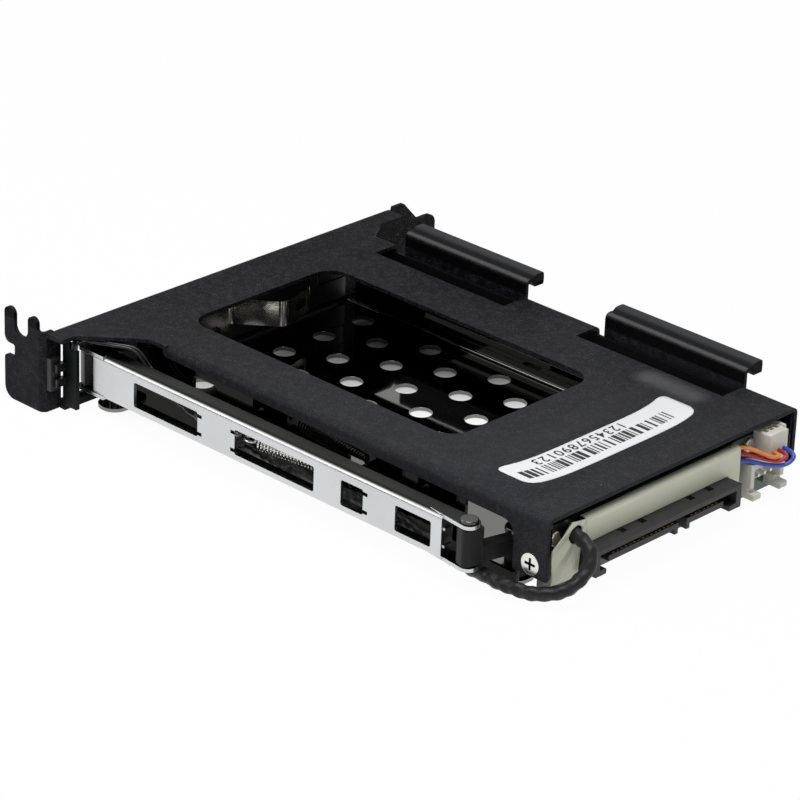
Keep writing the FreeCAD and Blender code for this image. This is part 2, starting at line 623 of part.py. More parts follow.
# ---------------------------------------------------------------- ejector lever
def lever_rest_angle():
    """Angle of the lever at rest, from the near pin to the pivot, off the Y axis."""
    return math.atan2(LEVER_X - LEVER_PIN_X, LEVER_Y - LEVER_PIN_Y)


def ejector_lever():
    """Two-armed lever: the outer fork end hangs on the link, the inner end pushes the drive."""
    angle = lever_rest_angle()
    near = math.hypot(LEVER_X - LEVER_PIN_X, LEVER_Y - LEVER_PIN_Y)
    pivot = V(LEVER_X, LEVER_Y, 0)
    mid = LEVER_ARM_LOW
    half = LEVER_ARM_WIDE / 2
    arm = plate([(-half, -near, 0), (half, -near, 0), (half, 0.0, 6.0),
                 (half - 0.4, LEVER_REACH, 1.2), (0.2 - half, LEVER_REACH, 1.2),
                 (-half, 0.0, 6.0)], at_z(mid), V(0, 0, LEVER_THICK))
    hub_low = LINK_LOW + LINK_SHEET + 0.3
    hub_tall = LINK_TALL - 2 * LINK_SHEET - 0.6
    hub = plate([(-2.4, -near - 2.1, 1.8), (2.0, -near - 2.1, 1.4), (2.0, -near + 2.6, 0.8),
                 (-2.4, -near + 2.6, 0.8)], at_z(hub_low), V(0, 0, hub_tall))
    boss_low = CAGE_SHEET + 0.3
    boss = rod(2.4, V(0, 0, boss_low), V(0, 0, mid + LEVER_THICK + 0.7 - boss_low))
    finger = box(-1.6, 1.0, LEVER_REACH - 3.0, LEVER_REACH - 0.4, 3.4, mid + LEVER_THICK + 1.6)
    slot_half = LEVER_PIN_R + SLOT_PLAY
    slot = plate(rectangle(-slot_half, slot_half, -near - slot_half - 0.1,
                           -near + slot_half + 0.7, slot_half - 0.01), at_z(0), V(0, 0, 20))
    pocket = box(-2.6, 0.6, -near + 1.9, -near + 3.0, hub_low + 1.2, hub_low + hub_tall - 1.2)
    bore = rod(LEVER_PIVOT_R + RUNNING, V(0, 0, -1), V(0, 0, 20))
    lever = cut(joined([arm, hub, boss, finger]), [slot, bore, pocket])
    lever.rotate(V(0, 0, 0), V(0, 0, 1), -math.degrees(angle))
    return lever.translated(pivot)


LEVER_ARM_LOW = 6.2
LEVER_ARM_WIDE = 3.0


def lever_pivot():
    """Shouldered rivet that holds the lever on the floor's tongue."""
    pivot = V(LEVER_X, LEVER_Y, 0)
    shank = rod(LEVER_PIVOT_R, pivot, V(0, 0, LEVER_ARM_LOW + LEVER_THICK + 1.0))
    head = rod(2.6, pivot + V(0, 0, LEVER_ARM_LOW + LEVER_THICK + 1.0), V(0, 0, 0.9))
    head = head.makeFillet(0.4, [head.Edges[0]])
    return joined([shank, head])


def link_rivet():
    """Rivet through the link's straps and the lever's fork, with a round head on top."""
    shank = rod(LEVER_PIN_R, V(LEVER_PIN_X, LEVER_PIN_Y, LINK_LOW), V(0, 0, LINK_TALL))
    head = rod(1.9, V(LEVER_PIN_X, LEVER_PIN_Y, LINK_TOP), V(0, 0, 0.8))
    head = head.makeFillet(0.35, [head.Edges[0]])
    return joined([shank, head])


def return_spring():
    """Close-wound extension spring with a hook at each end, from the link to the tray."""
    along = SPRING_ANCHOR - SPRING_LINK
    length = along.Length
    hook = 3.4
    turns = 18
    coil = length - 2 * hook
    step = coil / turns
    root = SPRING_R - SPRING_WIRE * 0.7
    edges = []
    for i in range(turns):
        x0 = hook + i * step
        edges.append(Part.Arc(V(x0, root, 0), V(x0 + step / 2, SPRING_R, 0),
                              V(x0 + step, root, 0)).toShape())
    edges.append(Part.LineSegment(V(hook + coil, root, 0), V(hook + coil, 0, 0)).toShape())
    edges.append(Part.LineSegment(V(hook + coil, 0, 0), V(hook, 0, 0)).toShape())
    edges.append(Part.LineSegment(V(hook, 0, 0), V(hook, root, 0)).toShape())
    body = Part.Face(Part.Wire(edges)).revolve(V(0, 0, 0), V(1, 0, 0), 360)
    wire = SPRING_WIRE / 2
    hooks = []
    for x, side in ((0.0, 1), (length, -1)):
        centre = V(x + side * 1.55, 0, 0)
        ring = Part.makeTorus(1.3, wire, centre, V(0, 1, 0))
        neck = rod(wire, centre + V(side * 1.3, 0, 0), V(side * (hook - 2.7), 0, 0))
        hooks.extend([ring, neck])
    spring = joined([body] + hooks)
    turn = math.degrees(math.atan2(along.y, along.x))
    spring.rotate(V(0, 0, 0), V(0, 0, 1), turn)
    return spring.translated(SPRING_LINK + V(-0.5, 0, 0))


# ---------------------------------------------------------------- boards and connectors
def backplane_board():
    near = WALL_IN_NEAR + 0.2
    far = WALL_IN_FAR - 0.2
    board = plate(rectangle(near, far, BOARD_LOW, BOARD_TOP, 0.8), at_x(BOARD_FACE),
                  V(BOARD_THICK, 0, 0))
    screw_end = WALL_IN_NEAR + LEG_SCREW_LONG - CAGE_SHEET
    screw_gap = box(BOARD_FACE - 1, BOARD_BACK + 1, near - 1, screw_end + 0.5,
                    LEG_SCREW.z - 2.0, LEG_SCREW.z + 2.0)
    board = cut(board, [screw_gap])
    holes = [rod(BOARD_SCREW_R, V(BOARD_FACE - 6, y, z), V(12, 0, 0)) for y, z in BOARD_SCREWS]
    return cut(board, holes)


def board_screws():
    """Pan-head screws that hold the board on the tray's lugs."""
    screws = []
    for y, z in BOARD_SCREWS:
        shank = rod(BOARD_SCREW_R, V(BOARD_FACE - 2.0, y, z), V(BOARD_THICK + 2.0, 0, 0))
        head = rod(1.6, V(BOARD_BACK, y, z), V(0.9, 0, 0))
        head = head.makeFillet(0.4, [head.Edges[0]])
        screws.append(joined([shank, head]))
    return screws


SOCKET_LONG = 42.0
SOCKET_LOW = 3.2
SOCKET_TALL = 5.6
SOCKET_POWER = (2.6, 23.6)
SOCKET_SIGNAL = (26.4, 37.4)


def drive_socket():
    """Receptacle that the drive plugs into: one body with a power and a signal slot."""
    front = BOARD_FACE - SOCKET_DEEP
    body = plate([(SOCKET_NEAR, SOCKET_LOW, 0.6), (SOCKET_NEAR + SOCKET_LONG, SOCKET_LOW, 0.6),
                  (SOCKET_NEAR + SOCKET_LONG, SOCKET_LOW + SOCKET_TALL, 0.6),
                  (SOCKET_NEAR, SOCKET_LOW + SOCKET_TALL, 0.6)], at_x(front),
                 V(SOCKET_DEEP, 0, 0))
    slots = [box(front - 1, front + 5.0, SOCKET_NEAR + a, SOCKET_NEAR + b, SOCKET_LOW + 1.6,
                 SOCKET_LOW + 4.0) for a, b in (SOCKET_POWER, SOCKET_SIGNAL)]
    ears = [box(front - 1, front + 2.2, SOCKET_NEAR + a, SOCKET_NEAR + a + 1.6, 0,
                SOCKET_LOW + 2.4) for a in (-0.01, SOCKET_LONG - 1.59)]
    return cut(body, slots + ears)


def pin_rows(first_power, first_signal, low_x, long, z, thick):
    """Power and signal contact strips, one behind the other along Y."""
    strips = []
    for first, count in ((first_power, POWER_PIN_COUNT), (first_signal, SIGNAL_PIN_COUNT)):
        for i in range(count):
            y = first + i * PIN_STEP
            strips.append(box(low_x, low_x + long, y, y + 0.7, z, z + thick))
    return strips


def socket_contacts():
    front = BOARD_FACE - SOCKET_DEEP
    return pin_rows(SOCKET_NEAR + SOCKET_POWER[0] + 1.3, SOCKET_NEAR + SOCKET_SIGNAL[0] + 1.2,
                    front + 0.8, 4.2, SOCKET_LOW + 1.6, 0.2)


PLUG_POWER = (4.6, 25.6)
PLUG_SIGNAL = (28.2, 39.6)
TONGUE_Z = 5.6
TONGUE_THICK = 1.2


def rear_plug():
    """Plug on the board's back, 22 ways: hood, end arms with feet, and two keyed tongues."""
    front = BOARD_BACK + PLUG_DEEP
    far = PLUG_FAR
    hood = box(BOARD_BACK, front, PLUG_NEAR, far, PLUG_TOP - 1.1, PLUG_TOP)
    back = box(BOARD_BACK, BOARD_BACK + 1.2, PLUG_NEAR, far, PLUG_LOW, PLUG_TOP - 1.0)
    near_arm = plate([(PLUG_NEAR, PLUG_LOW, 0.3), (PLUG_NEAR + 3.4, PLUG_LOW, 0.3),
                      (PLUG_NEAR + 3.4, PLUG_LOW + 1.2, 0.3), (PLUG_NEAR + 1.4, PLUG_LOW + 1.2),
                      (PLUG_NEAR + 1.4, PLUG_TOP - 1.0), (PLUG_NEAR, PLUG_TOP - 1.0)],
                     at_x(BOARD_BACK), V(PLUG_DEEP, 0, 0))
    far_arm = plate([(far, PLUG_LOW + 0.6), (far, PLUG_TOP - 1.0), (far - 1.5, PLUG_TOP - 1.0),
                     (far - 1.5, PLUG_LOW + 1.8, 0.3), (far - 3.6, PLUG_LOW + 1.8, 0.3),
                     (far - 3.6, PLUG_LOW + 0.6)], at_x(BOARD_BACK), V(PLUG_DEEP, 0, 0))
    tongues = []
    for a, b in (PLUG_POWER, PLUG_SIGNAL):
        low = PLUG_NEAR + a
        high = PLUG_NEAR + b
        tongues.append(box(BOARD_BACK, front - 0.6, low, high, TONGUE_Z,
                           TONGUE_Z + TONGUE_THICK))
        key = low if a == PLUG_SIGNAL[0] else high - 1.0
        tongues.append(box(BOARD_BACK, front - 0.6, key, key + 1.0, TONGUE_Z - 1.2,
                           TONGUE_Z + 0.1))
    peg_holes = [box(BOARD_BACK + 2.0, BOARD_BACK + 3.6, PLUG_NEAR + y, PLUG_NEAR + y + 1.6,
                     PLUG_TOP - 2, PLUG_TOP + 1) for y in (10.3, 16.2, 31.0, 36.9)]
    return cut(joined([hood, back, near_arm, far_arm] + tongues), peg_holes)


def plug_contacts():
    return pin_rows(PLUG_NEAR + PLUG_POWER[0] + 1.3, PLUG_NEAR + PLUG_SIGNAL[0] + 1.5,
                    BOARD_BACK + 1.3, 3.6, TONGUE_Z + TONGUE_THICK, 0.15)


def insulator():
    """Cream insulating sheet folded over the board's back edge, with a loose end flap."""
    near = PLUG_NEAR + 0.6
    far = 74.0
    top = BOARD_TOP + 0.3 + INSULATOR_SHEET
    sheet = folded([(BOARD_FACE - 2.0, top), (INSULATOR_FACE, top), (INSULATOR_FACE, 6.4)][::-1],
                   INSULATOR_SHEET, 1.4, at_y(near), V(0, far - near, 0))
    plug_gap = box(BOARD_BACK - 0.5, COVER_DEPTH + 10, near - 1, PLUG_FAR + 0.3, 0,
                   PLUG_TOP + 0.1)
    board_gap = box(BOARD_FACE - 6, INSULATOR_FACE - 1.4, PLUG_FAR - 0.2, PLUG_FAR + 9.8,
                    BOARD_LOW, BOARD_TOP)
    side = WALL_IN_NEAR + 0.3
    flap = plate([(side, 2.6), (PLUG_NEAR - 0.4, 2.6, 1.5), (PLUG_NEAR - 0.4, 9.6),
                  (near + 1.0, 9.6), (near + 1.0, BOARD_TOP), (22.0, BOARD_TOP, 0.6),
                  (side, 14.7)],
                 at_x(INSULATOR_FACE - INSULATOR_SHEET), V(INSULATOR_SHEET, 0, 0))
    cable_hole = rod(SLEEVE_R + 0.4, SLEEVE_END, V(4.0, 0, 0))
    flap = cut(flap, [cable_hole])
    return [joined([cut(sheet, [plug_gap, board_gap]), flap])]


HEADER_GAP = 6.0
HEADER_LONG = 10.7
HEADER_DEEP = 3.4
HEADER_FOOT = 1.1
HEADER_PIN_STEP = 2.0
HEADER_NEAR = PLUG_FAR + HEADER_GAP
HEADER_FAR = HEADER_NEAR + HEADER_LONG
HEADER_TOP = PLUG_TOP + 0.9
HEADER_PIN_Z = HEADER_TOP - 3.6


def wafer_header():
    """White right-angle header under the board's far end, open to the rear, with two feet."""
    front = BOARD_BACK + HEADER_DEEP
    shell = box(BOARD_BACK, front, HEADER_NEAR, HEADER_FAR, HEADER_TOP - 5.2, HEADER_TOP)
    room = box(BOARD_BACK + 0.8, front + 1, HEADER_NEAR + 1.1, HEADER_FAR - 1.1,
               HEADER_TOP - 6.2, HEADER_TOP - 1.2)
    feet = []
    for y in (HEADER_NEAR, HEADER_FAR - 2.2):
        feet.append(plate([(BOARD_BACK, 2.6), (front + HEADER_FOOT, 2.6, 0.3),
                           (front + HEADER_FOOT, 4.0, 0.3), (front - 0.8, 4.0, 0.3),
                           (front - 0.8, 5.1), (BOARD_BACK, 5.1)], at_y(y), V(0, 2.2, 0)))
    return joined([cut(shell, [room])] + feet)


def header_pins():
    """Three bent pins inside the header's shell."""
    pins = []
    for i in range(3):
        y = HEADER_NEAR + 3.0 + HEADER_PIN_STEP * i
        pins.append(box(BOARD_BACK + 0.8, BOARD_BACK + 2.8, y, y + 0.6,
                        HEADER_PIN_Z, HEADER_PIN_Z + 0.6))
    return pins


WIRE_PLUG = (HEADER_NEAR + 4.0, HEADER_NEAR + 9.6, HEADER_TOP + 0.9, HEADER_TOP + 6.0)
WIRE_STEP = 1.6
WIRE_PLUG_DEEP = 4.6


def wire_plug():
    """White plug on the board for the three coloured leads, with crimp windows on top."""
    near, far, low, high = WIRE_PLUG
    deep = WIRE_PLUG_DEEP
    body = plate([(near, low, 0.3), (far, low, 0.3), (far, high, 0.3), (near, high, 0.3)],
                 at_x(BOARD_BACK), V(deep, 0, 0))
    windows = [box(BOARD_BACK + 1.2, BOARD_BACK + 2.8, near + 0.7 + WIRE_STEP * i,
                   near + 1.7 + WIRE_STEP * i, high - 0.8, high + 1) for i in range(3)]
    rib = box(BOARD_BACK, BOARD_BACK + deep - 1.2, far - WELD, far + 0.7, low - 0.4, high + 0.3)
    return joined([cut(body, windows), rib])


def lead(index):
    """One coloured lead, from behind the insulator round to the wire plug's face."""
    plug_face = BOARD_BACK + WIRE_PLUG_DEEP
    exit_y = WIRE_PLUG[0] + 1.2 + WIRE_STEP * index
    exit_z = WIRE_PLUG[2] + 1.1
    drop = 1.5 * index
    out = 0.8 * index
    return [(BOARD_BACK + 0.8, PLUG_FAR + 1.3, 14.7 - drop),
            (BOARD_BACK + 0.95, PLUG_FAR + 5.0, 14.4 - drop),
            (plug_face - 0.5 + out, PLUG_FAR + 7.8 + out, 13.03 - drop),
            (plug_face + 1.5 + out, exit_y - 2.0, exit_z - 0.1 - index),
            (plug_face + 2.0 + out, exit_y, exit_z), (plug_face, exit_y, exit_z)]


LAMP_BOARD_X = 2.4
LAMP_BOARD_WIDE = 4.2
LAMP_BOARD_Y = 4.2
LAMP_WIRE_Z = 15.0


def led_board():
    """Small upright board behind the bracket's near strip, which carries the two lamps."""
    right = LAMP_BOARD_X + LAMP_BOARD_WIDE
    board = box(LAMP_BOARD_X, right, LAMP_BOARD_Y, LAMP_BOARD_Y + 1.0, 1.4, 16.2)
    return cut(board, [box(right - 2.1, right + 1, LAMP_BOARD_Y - 1, LAMP_BOARD_Y + 2,
                           LAMP_WIRE_Z, 18)])


def led_lamps():
    return [box(2.2, 3.4, LED_Y - 0.8, LAMP_BOARD_Y, z - 0.9, z + 0.9) for z in LED_HEIGHTS]


def light_pipes():
    """Clear rods that bring the lamps' light to the bracket's face."""
    return [rod(LIGHT_PIPE_R, V(0, LED_Y, z), V(2.2, 0, 0)) for z in LED_HEIGHTS]


def lamp_holder():
    """Black holder that carries the lamp board on the bracket's back."""
    body = box(COVER_SHEET, 2.2, 1.0, LED_Y + 1.1, 5.2, 12.6)
    holes = [rod(LIGHT_PIPE_R, V(-1, LED_Y, z), V(8, 0, 0)) for z in LED_HEIGHTS]
    return cut(body, holes)


def leg_screw():
    """Countersunk cross-head screw through the cover's leg into the tray."""
    head = Part.makeCone(2.3, 1.25, COVER_SHEET, LEG_SCREW, V(0, 1, 0))
    shank = rod(1.25, LEG_SCREW + V(0, COVER_SHEET, 0), V(0, LEG_SCREW_LONG, 0))
    size = 0.6
    arms = [box(LEG_SCREW.x - a, LEG_SCREW.x + a, COVER_NEAR - 1, COVER_NEAR + 0.7,
                LEG_SCREW.z - b, LEG_SCREW.z + b)
            for a, b in ((1.35, size / 2), (size / 2, 1.35))]
    return cut(joined([head, shank]), arms)


# the sleeve's route, from behind the link's first window back and round to the backplane
SLEEVE_ROUTE = [(24.0, 13.5, 10.2), (30.0, 13.5, 9.4), (38.0, 13.5, 6.6), (48.0, 13.4, 5.0),
                (62.0, 13.5, 5.2), (78.0, 13.4, 4.8), (94.0, 13.3, 5.2), (104.0, 12.9, 3.9),
                (112.0, 12.3, 2.9), (120.0, 12.0, 2.6), (126.6, 12.7, 2.6),
                (131.8, 15.0, 3.0), (135.0, 18.6, 5.0), (135.6, 22.2, 8.2),
                (133.4, SLEEVE_END.y, SLEEVE_END.z), (SLEEVE_END.x, SLEEVE_END.y, SLEEVE_END.z)]


def lamp_wire(index):
    """One thin black wire from the lamp board, over the link's front and into the sleeve."""
    aside = 0.95 * index
    start = LAMP_BOARD_X + LAMP_BOARD_WIDE - 0.55 - aside
    middle = LAMP_BOARD_Y + 0.5
    high = TOP - COVER_SHEET - 0.54
    return [(start, middle, LAMP_WIRE_Z), (start, middle, high), (start, middle + 2.0, high),
            (9.2 - aside * 0.5, 8.3 - aside, high), (13.0, 10.4 - aside, high),
            (16.4, 13.0 - aside, high - 0.3), (19.6, 14.0 - aside, 12.4),
            (SLEEVE_ROUTE[0][0] - 0.15, 14.0 - aside, SLEEVE_ROUTE[0][2])]


def main():
    nodes = {}
    nodes["bracket_cover"] = [bracket_cover()]
    nodes["cage_tray"] = [cage_tray()]
    nodes["door_panel"] = [door_panel()]
    nodes["door_catch"] = [door_catch()]
    nodes["door_leaf_spring"] = [door_leaf_spring()]
    nodes["leaf_rivets"] = leaf_rivets()
    nodes["crank_pin"] = [crank_pin()]
    nodes["hinge_pin"] = [hinge_pin()]
    nodes["channel_link"] = [channel_link()]
    nodes["link_rivet"] = [link_rivet()]
    nodes["ejector_lever"] = [ejector_lever()]
    nodes["lever_pivot"] = [lever_pivot()]
    nodes["return_spring"] = [return_spring()]
    nodes["backplane_board"] = [backplane_board()]
    nodes["board_screws"] = board_screws()
    nodes["drive_socket"] = [drive_socket()]
    nodes["socket_contacts"] = socket_contacts()
    nodes["rear_plug"] = [rear_plug()]
    nodes["plug_contacts"] = plug_contacts()
    nodes["insulator"] = insulator()
    nodes["wafer_header"] = [wafer_header()]
    nodes["header_pins"] = header_pins()
    nodes["wire_plug"] = [wire_plug()]
    for index, colour in enumerate(("orange", "red", "blue")):
        nodes[colour + "_lead"] = [tube(lead(index), WIRE_R, colour)]
    nodes["led_board"] = [led_board()]
    nodes["led_lamps"] = led_lamps()
    nodes["light_pipes"] = light_pipes()
    nodes["lamp_holder"] = [lamp_holder()]
    nodes["lamp_wires"] = [tube(lamp_wire(index), LAMP_WIRE_R, "lamp wire") for index in range(2)]
    nodes["leg_screw"] = [leg_screw()]
    nodes["cable_sleeve"] = [tube(SLEEVE_ROUTE, SLEEVE_R, "sleeve")]
    write_all(nodes)


main()
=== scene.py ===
"""Finishes and soft pieces of a trayless hot swap cage for one 2.5-inch drive.

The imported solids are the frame. Each one gets its material here, and the wound, woven,
folded and printed pieces are surfaces worked out on grids. Lengths are metres in the row
frame; at() takes millimetres counted from the bracket's face, its ear and the bench.
"""

import json
import math

import bpy
import numpy as np
from mathutils import Matrix, Vector


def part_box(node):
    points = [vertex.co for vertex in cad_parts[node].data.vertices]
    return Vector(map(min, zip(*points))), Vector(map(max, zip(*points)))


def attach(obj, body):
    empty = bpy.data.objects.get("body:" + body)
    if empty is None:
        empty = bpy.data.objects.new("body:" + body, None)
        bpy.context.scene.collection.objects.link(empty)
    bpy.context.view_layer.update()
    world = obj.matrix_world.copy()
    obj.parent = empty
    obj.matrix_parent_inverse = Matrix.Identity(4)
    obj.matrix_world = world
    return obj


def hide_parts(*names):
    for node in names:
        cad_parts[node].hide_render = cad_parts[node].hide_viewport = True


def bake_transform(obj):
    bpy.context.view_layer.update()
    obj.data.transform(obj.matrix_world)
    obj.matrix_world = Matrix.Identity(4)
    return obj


MM = 0.001
EAR_DEPTH = 11.43

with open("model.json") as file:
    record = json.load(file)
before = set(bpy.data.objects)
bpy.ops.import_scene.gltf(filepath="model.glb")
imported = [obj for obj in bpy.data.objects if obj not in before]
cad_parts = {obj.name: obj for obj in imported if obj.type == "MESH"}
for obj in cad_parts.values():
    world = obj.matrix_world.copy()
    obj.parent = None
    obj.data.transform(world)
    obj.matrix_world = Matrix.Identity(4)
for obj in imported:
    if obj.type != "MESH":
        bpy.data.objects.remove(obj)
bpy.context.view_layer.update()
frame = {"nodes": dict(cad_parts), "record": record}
nodes = frame["nodes"]
slot_of = {part["node"]: part["material_slot"] for part in frame["record"]["subparts"]}
cover_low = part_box("bracket_cover")[0]
FACE_X = cover_low.x + EAR_DEPTH * MM
EAR_Y = cover_low.y
PLATE_Z = 18.42


def at(x, y, z):
    """Row-frame point of (mm behind the bracket's face, mm from its ear, mm above the bench)."""
    return Vector((FACE_X + x * MM, EAR_Y + y * MM, z * MM))


def place(points):
    """The same for an array whose last axis is (x, y, z) in millimetres."""
    return np.asarray(points, float) * MM + np.array((FACE_X, EAR_Y, 0.0))


# ---------------------------------------------------------------- node helpers
class Graph:
    """Writes nodes into a material or a group, left to right, and wires them by socket name."""

    def __init__(self, tree):
        self.tree = tree
        self.column = 0

    def add(self, kind, settings=None, **inputs):
        node = self.tree.nodes.new(kind)
        node.location = (self.column * 180, 0)
        self.column += 1
        for key, value in (settings or {}).items():
            setattr(node, key, value)
        for key, value in inputs.items():
            self.feed(node.inputs[int(key[1:])] if key[0] == "i" and key[1:].isdigit()
                      else node.inputs[key.replace("_", " ")], value)
        return node

    def feed(self, socket, value):
        if isinstance(value, bpy.types.NodeSocket):
            self.tree.links.new(value, socket)
        else:
            socket.default_value = value

    def math(self, operation, a, b=0.0):
        node = self.add("ShaderNodeMath", {"operation": operation})
        self.feed(node.inputs[0], a)
        self.feed(node.inputs[1], b)
        return node.outputs[0]

    def blend(self, factor, first, second):
        """A colour between first and second."""
        node = self.add("ShaderNodeMix", {"data_type": "RGBA"})
        self.feed(node.inputs[0], factor)
        self.feed(node.inputs[6], first)
        self.feed(node.inputs[7], second)
        return node.outputs[2]

    def ramp(self, value, low, high, start=0.0, end=1.0):
        """value from low..high stretched to start..end, smoothly and clamped."""
        node = self.add("ShaderNodeMapRange", {"interpolation_type": "SMOOTHSTEP"})
        for socket, number in zip(node.inputs[1:5], (low, high, start, end)):
            socket.default_value = number
        self.feed(node.inputs[0], value)
        return node.outputs[0]


def shared_group(name, numbers, outputs):
    """A shader node group with named number inputs; returns it with its Graph and sockets."""
    group = bpy.data.node_groups.new(name, "ShaderNodeTree")
    group.interface.new_socket("Vector", in_out="INPUT", socket_type="NodeSocketVector")
    for label, value in numbers.items():
        socket = group.interface.new_socket(label, in_out="INPUT",
                                            socket_type="NodeSocketFloat")
        socket.default_value = value
    for label in outputs:
        group.interface.new_socket(label, in_out="OUTPUT", socket_type="NodeSocketFloat")
    graph = Graph(group)
    return group, graph, graph.add("NodeGroupInput").outputs, graph.add("NodeGroupOutput").inputs


def grain_group():
    """Fine grain: two scales of noise as a height, with a slow mottle for colour and gloss."""
    group, g, source, sink = shared_group("grain", {"Scale": 2000.0, "Coarse": 0.3},
                                          ("Height", "Mottle"))
    fine = g.add("ShaderNodeTexNoise", i0=source["Vector"], Scale=source["Scale"],
                 Detail=3.0, Roughness=0.6)
    wide = g.add("ShaderNodeTexNoise", i0=source["Vector"],
                 Scale=g.math("MULTIPLY", source["Scale"], 0.16), Detail=2.0)
    slow = g.add("ShaderNodeTexNoise", i0=source["Vector"],
                 Scale=g.math("MULTIPLY", source["Scale"], 0.02), Detail=4.0)
    lifted = g.math("MULTIPLY", wide.outputs["Fac"], source["Coarse"])
    g.feed(sink["Height"], g.math("ADD", fine.outputs["Fac"], lifted))
    g.feed(sink["Mottle"], slow.outputs["Fac"])
    return group


def dust_group():
    """Sparse specks: small discs round Voronoi points, kept only in a few random cells."""
    group, g, source, sink = shared_group("dust", {"Scale": 300.0, "Share": 0.1, "Size": 0.1},
                                          ("Mask",))
    cells = g.add("ShaderNodeTexVoronoi", i0=source["Vector"], Scale=source["Scale"])
    near = g.math("LESS_THAN", cells.outputs["Distance"], source["Size"])
    pick = g.add("ShaderNodeSeparateColor", i0=cells.outputs["Color"])
    kept = g.math("LESS_THAN", pick.outputs[0], source["Share"])
    g.feed(sink["Mask"], g.math("MULTIPLY", near, kept))
    return group


def streak_group():
    """Rolling or drawing lines: noise stretched along X, as a height and a gloss change."""
    group, g, source, sink = shared_group("streaks", {"Scale": 900.0, "Stretch": 0.03},
                                          ("Height", "Mottle"))
    squeeze = g.add("ShaderNodeCombineXYZ", X=source["Stretch"], Y=1.0, Z=1.0)
    drawn = g.add("ShaderNodeVectorMath", {"operation": "MULTIPLY"},
                  i0=source["Vector"], i1=squeeze.outputs[0])
    lines = g.add("ShaderNodeTexNoise", i0=drawn.outputs[0], Scale=source["Scale"], Detail=4.0)
    slow = g.add("ShaderNodeTexNoise", i0=source["Vector"],
                 Scale=g.math("MULTIPLY", source["Scale"], 0.08), Detail=3.0)
    g.feed(sink["Height"], lines.outputs["Fac"])
    g.feed(sink["Mottle"], slow.outputs["Fac"])
    return group


GRAIN = grain_group()
DUST = dust_group()
STREAKS = streak_group()


def new_material(name, **fixed):
    """An empty material with its Graph, shader, object coordinates; fixed values by socket."""
    material = bpy.data.materials.new(name)
    material.use_nodes = True
    material.node_tree.nodes.clear()
    g = Graph(material.node_tree)
    where = g.add("ShaderNodeTexCoord").outputs["Object"]
    shader = g.add("ShaderNodeBsdfPrincipled")
    out = g.add("ShaderNodeOutputMaterial")
    g.feed(out.inputs["Surface"], shader.outputs[0])
    for key, value in fixed.items():
        shader.inputs[key.replace("_", " ")].default_value = value
    return material, g, where, shader


def use(g, group, where, **inputs):
    node = g.add("ShaderNodeGroup", {"node_tree": group}, Vector=where)
    for key, value in inputs.items():
        g.feed(node.inputs[key], value)
    return node.outputs


def rounded(g, radius):
    """A normal that is rolled over sharp edges by this radius, and a mask of those edges."""
    bevel = g.add("ShaderNodeBevel", {"samples": 4}, Radius=radius * MM)
    plain = g.add("ShaderNodeNewGeometry").outputs["Normal"]
    match = g.add("ShaderNodeVectorMath", {"operation": "DOT_PRODUCT"},
                  i0=bevel.outputs[0], i1=plain)
    return bevel.outputs[0], g.ramp(match.outputs["Value"], 0.995, 0.8)


def relief(g, shader, height, depth, normal=None):
    """Bump of this depth in millimetres."""
    bump = g.add("ShaderNodeBump", Strength=1.0, Distance=depth * MM)
    g.feed(bump.inputs["Height"], height)
    if normal:
        g.feed(bump.inputs["Normal"], normal)
    g.feed(shader.inputs["Normal"], bump.outputs[0])


def rgb(*values):
    return (*values, 1.0)


SWELL_MIDDLE = at(112.0, 49.5, 0.0)
SWELL_HALF = (3.4, 26.5)
# the studio camera's azimuth, rounded: the coat's painted tone pales toward the camera
PALING_TURN = math.radians(43.0)


def swelling(g, where):
    """Height of the plate's soft swelling round the label, 1 on it and 0 beyond its slope."""
    spot = g.add("ShaderNodeSeparateXYZ", i0=where).outputs
    gaps = []
    for axis in (0, 1):
        far = g.math("ABSOLUTE", g.math("SUBTRACT", spot[axis], SWELL_MIDDLE[axis]))
        gap = g.math("MAXIMUM", g.math("SUBTRACT", far, SWELL_HALF[axis] * MM), 0.0)
        gaps.append(g.math("MULTIPLY", gap, gap))
    away = g.math("SQRT", g.math("ADD", *gaps))
    return g.ramp(away, 8.5 * MM, 0.0)


def painted_highlight_bar(g, where):
    """1 on a painted highlight, a pale rounded bar beside the label's far end."""
    spot = g.add("ShaderNodeSeparateXYZ", i0=where).outputs
    start, end = at(100.5, 79.2, 0.0), at(112.5, 79.8, 0.0)
    past = g.math("MAXIMUM", g.math("SUBTRACT", start.x, spot["X"]),
                  g.math("SUBTRACT", spot["X"], end.x))
    past = g.math("MAXIMUM", past, 0.0)
    aside = g.math("SUBTRACT", spot["Y"], (start.y + end.y) / 2)
    gap = g.math("SQRT", g.math("ADD", g.math("MULTIPLY", past, past),
                                g.math("MULTIPLY", aside, aside)))
    top = g.ramp(spot["Z"], 17.0 * MM, 17.5 * MM)
    return g.math("MULTIPLY", top, g.ramp(gap, 4.6 * MM, 0.2 * MM))


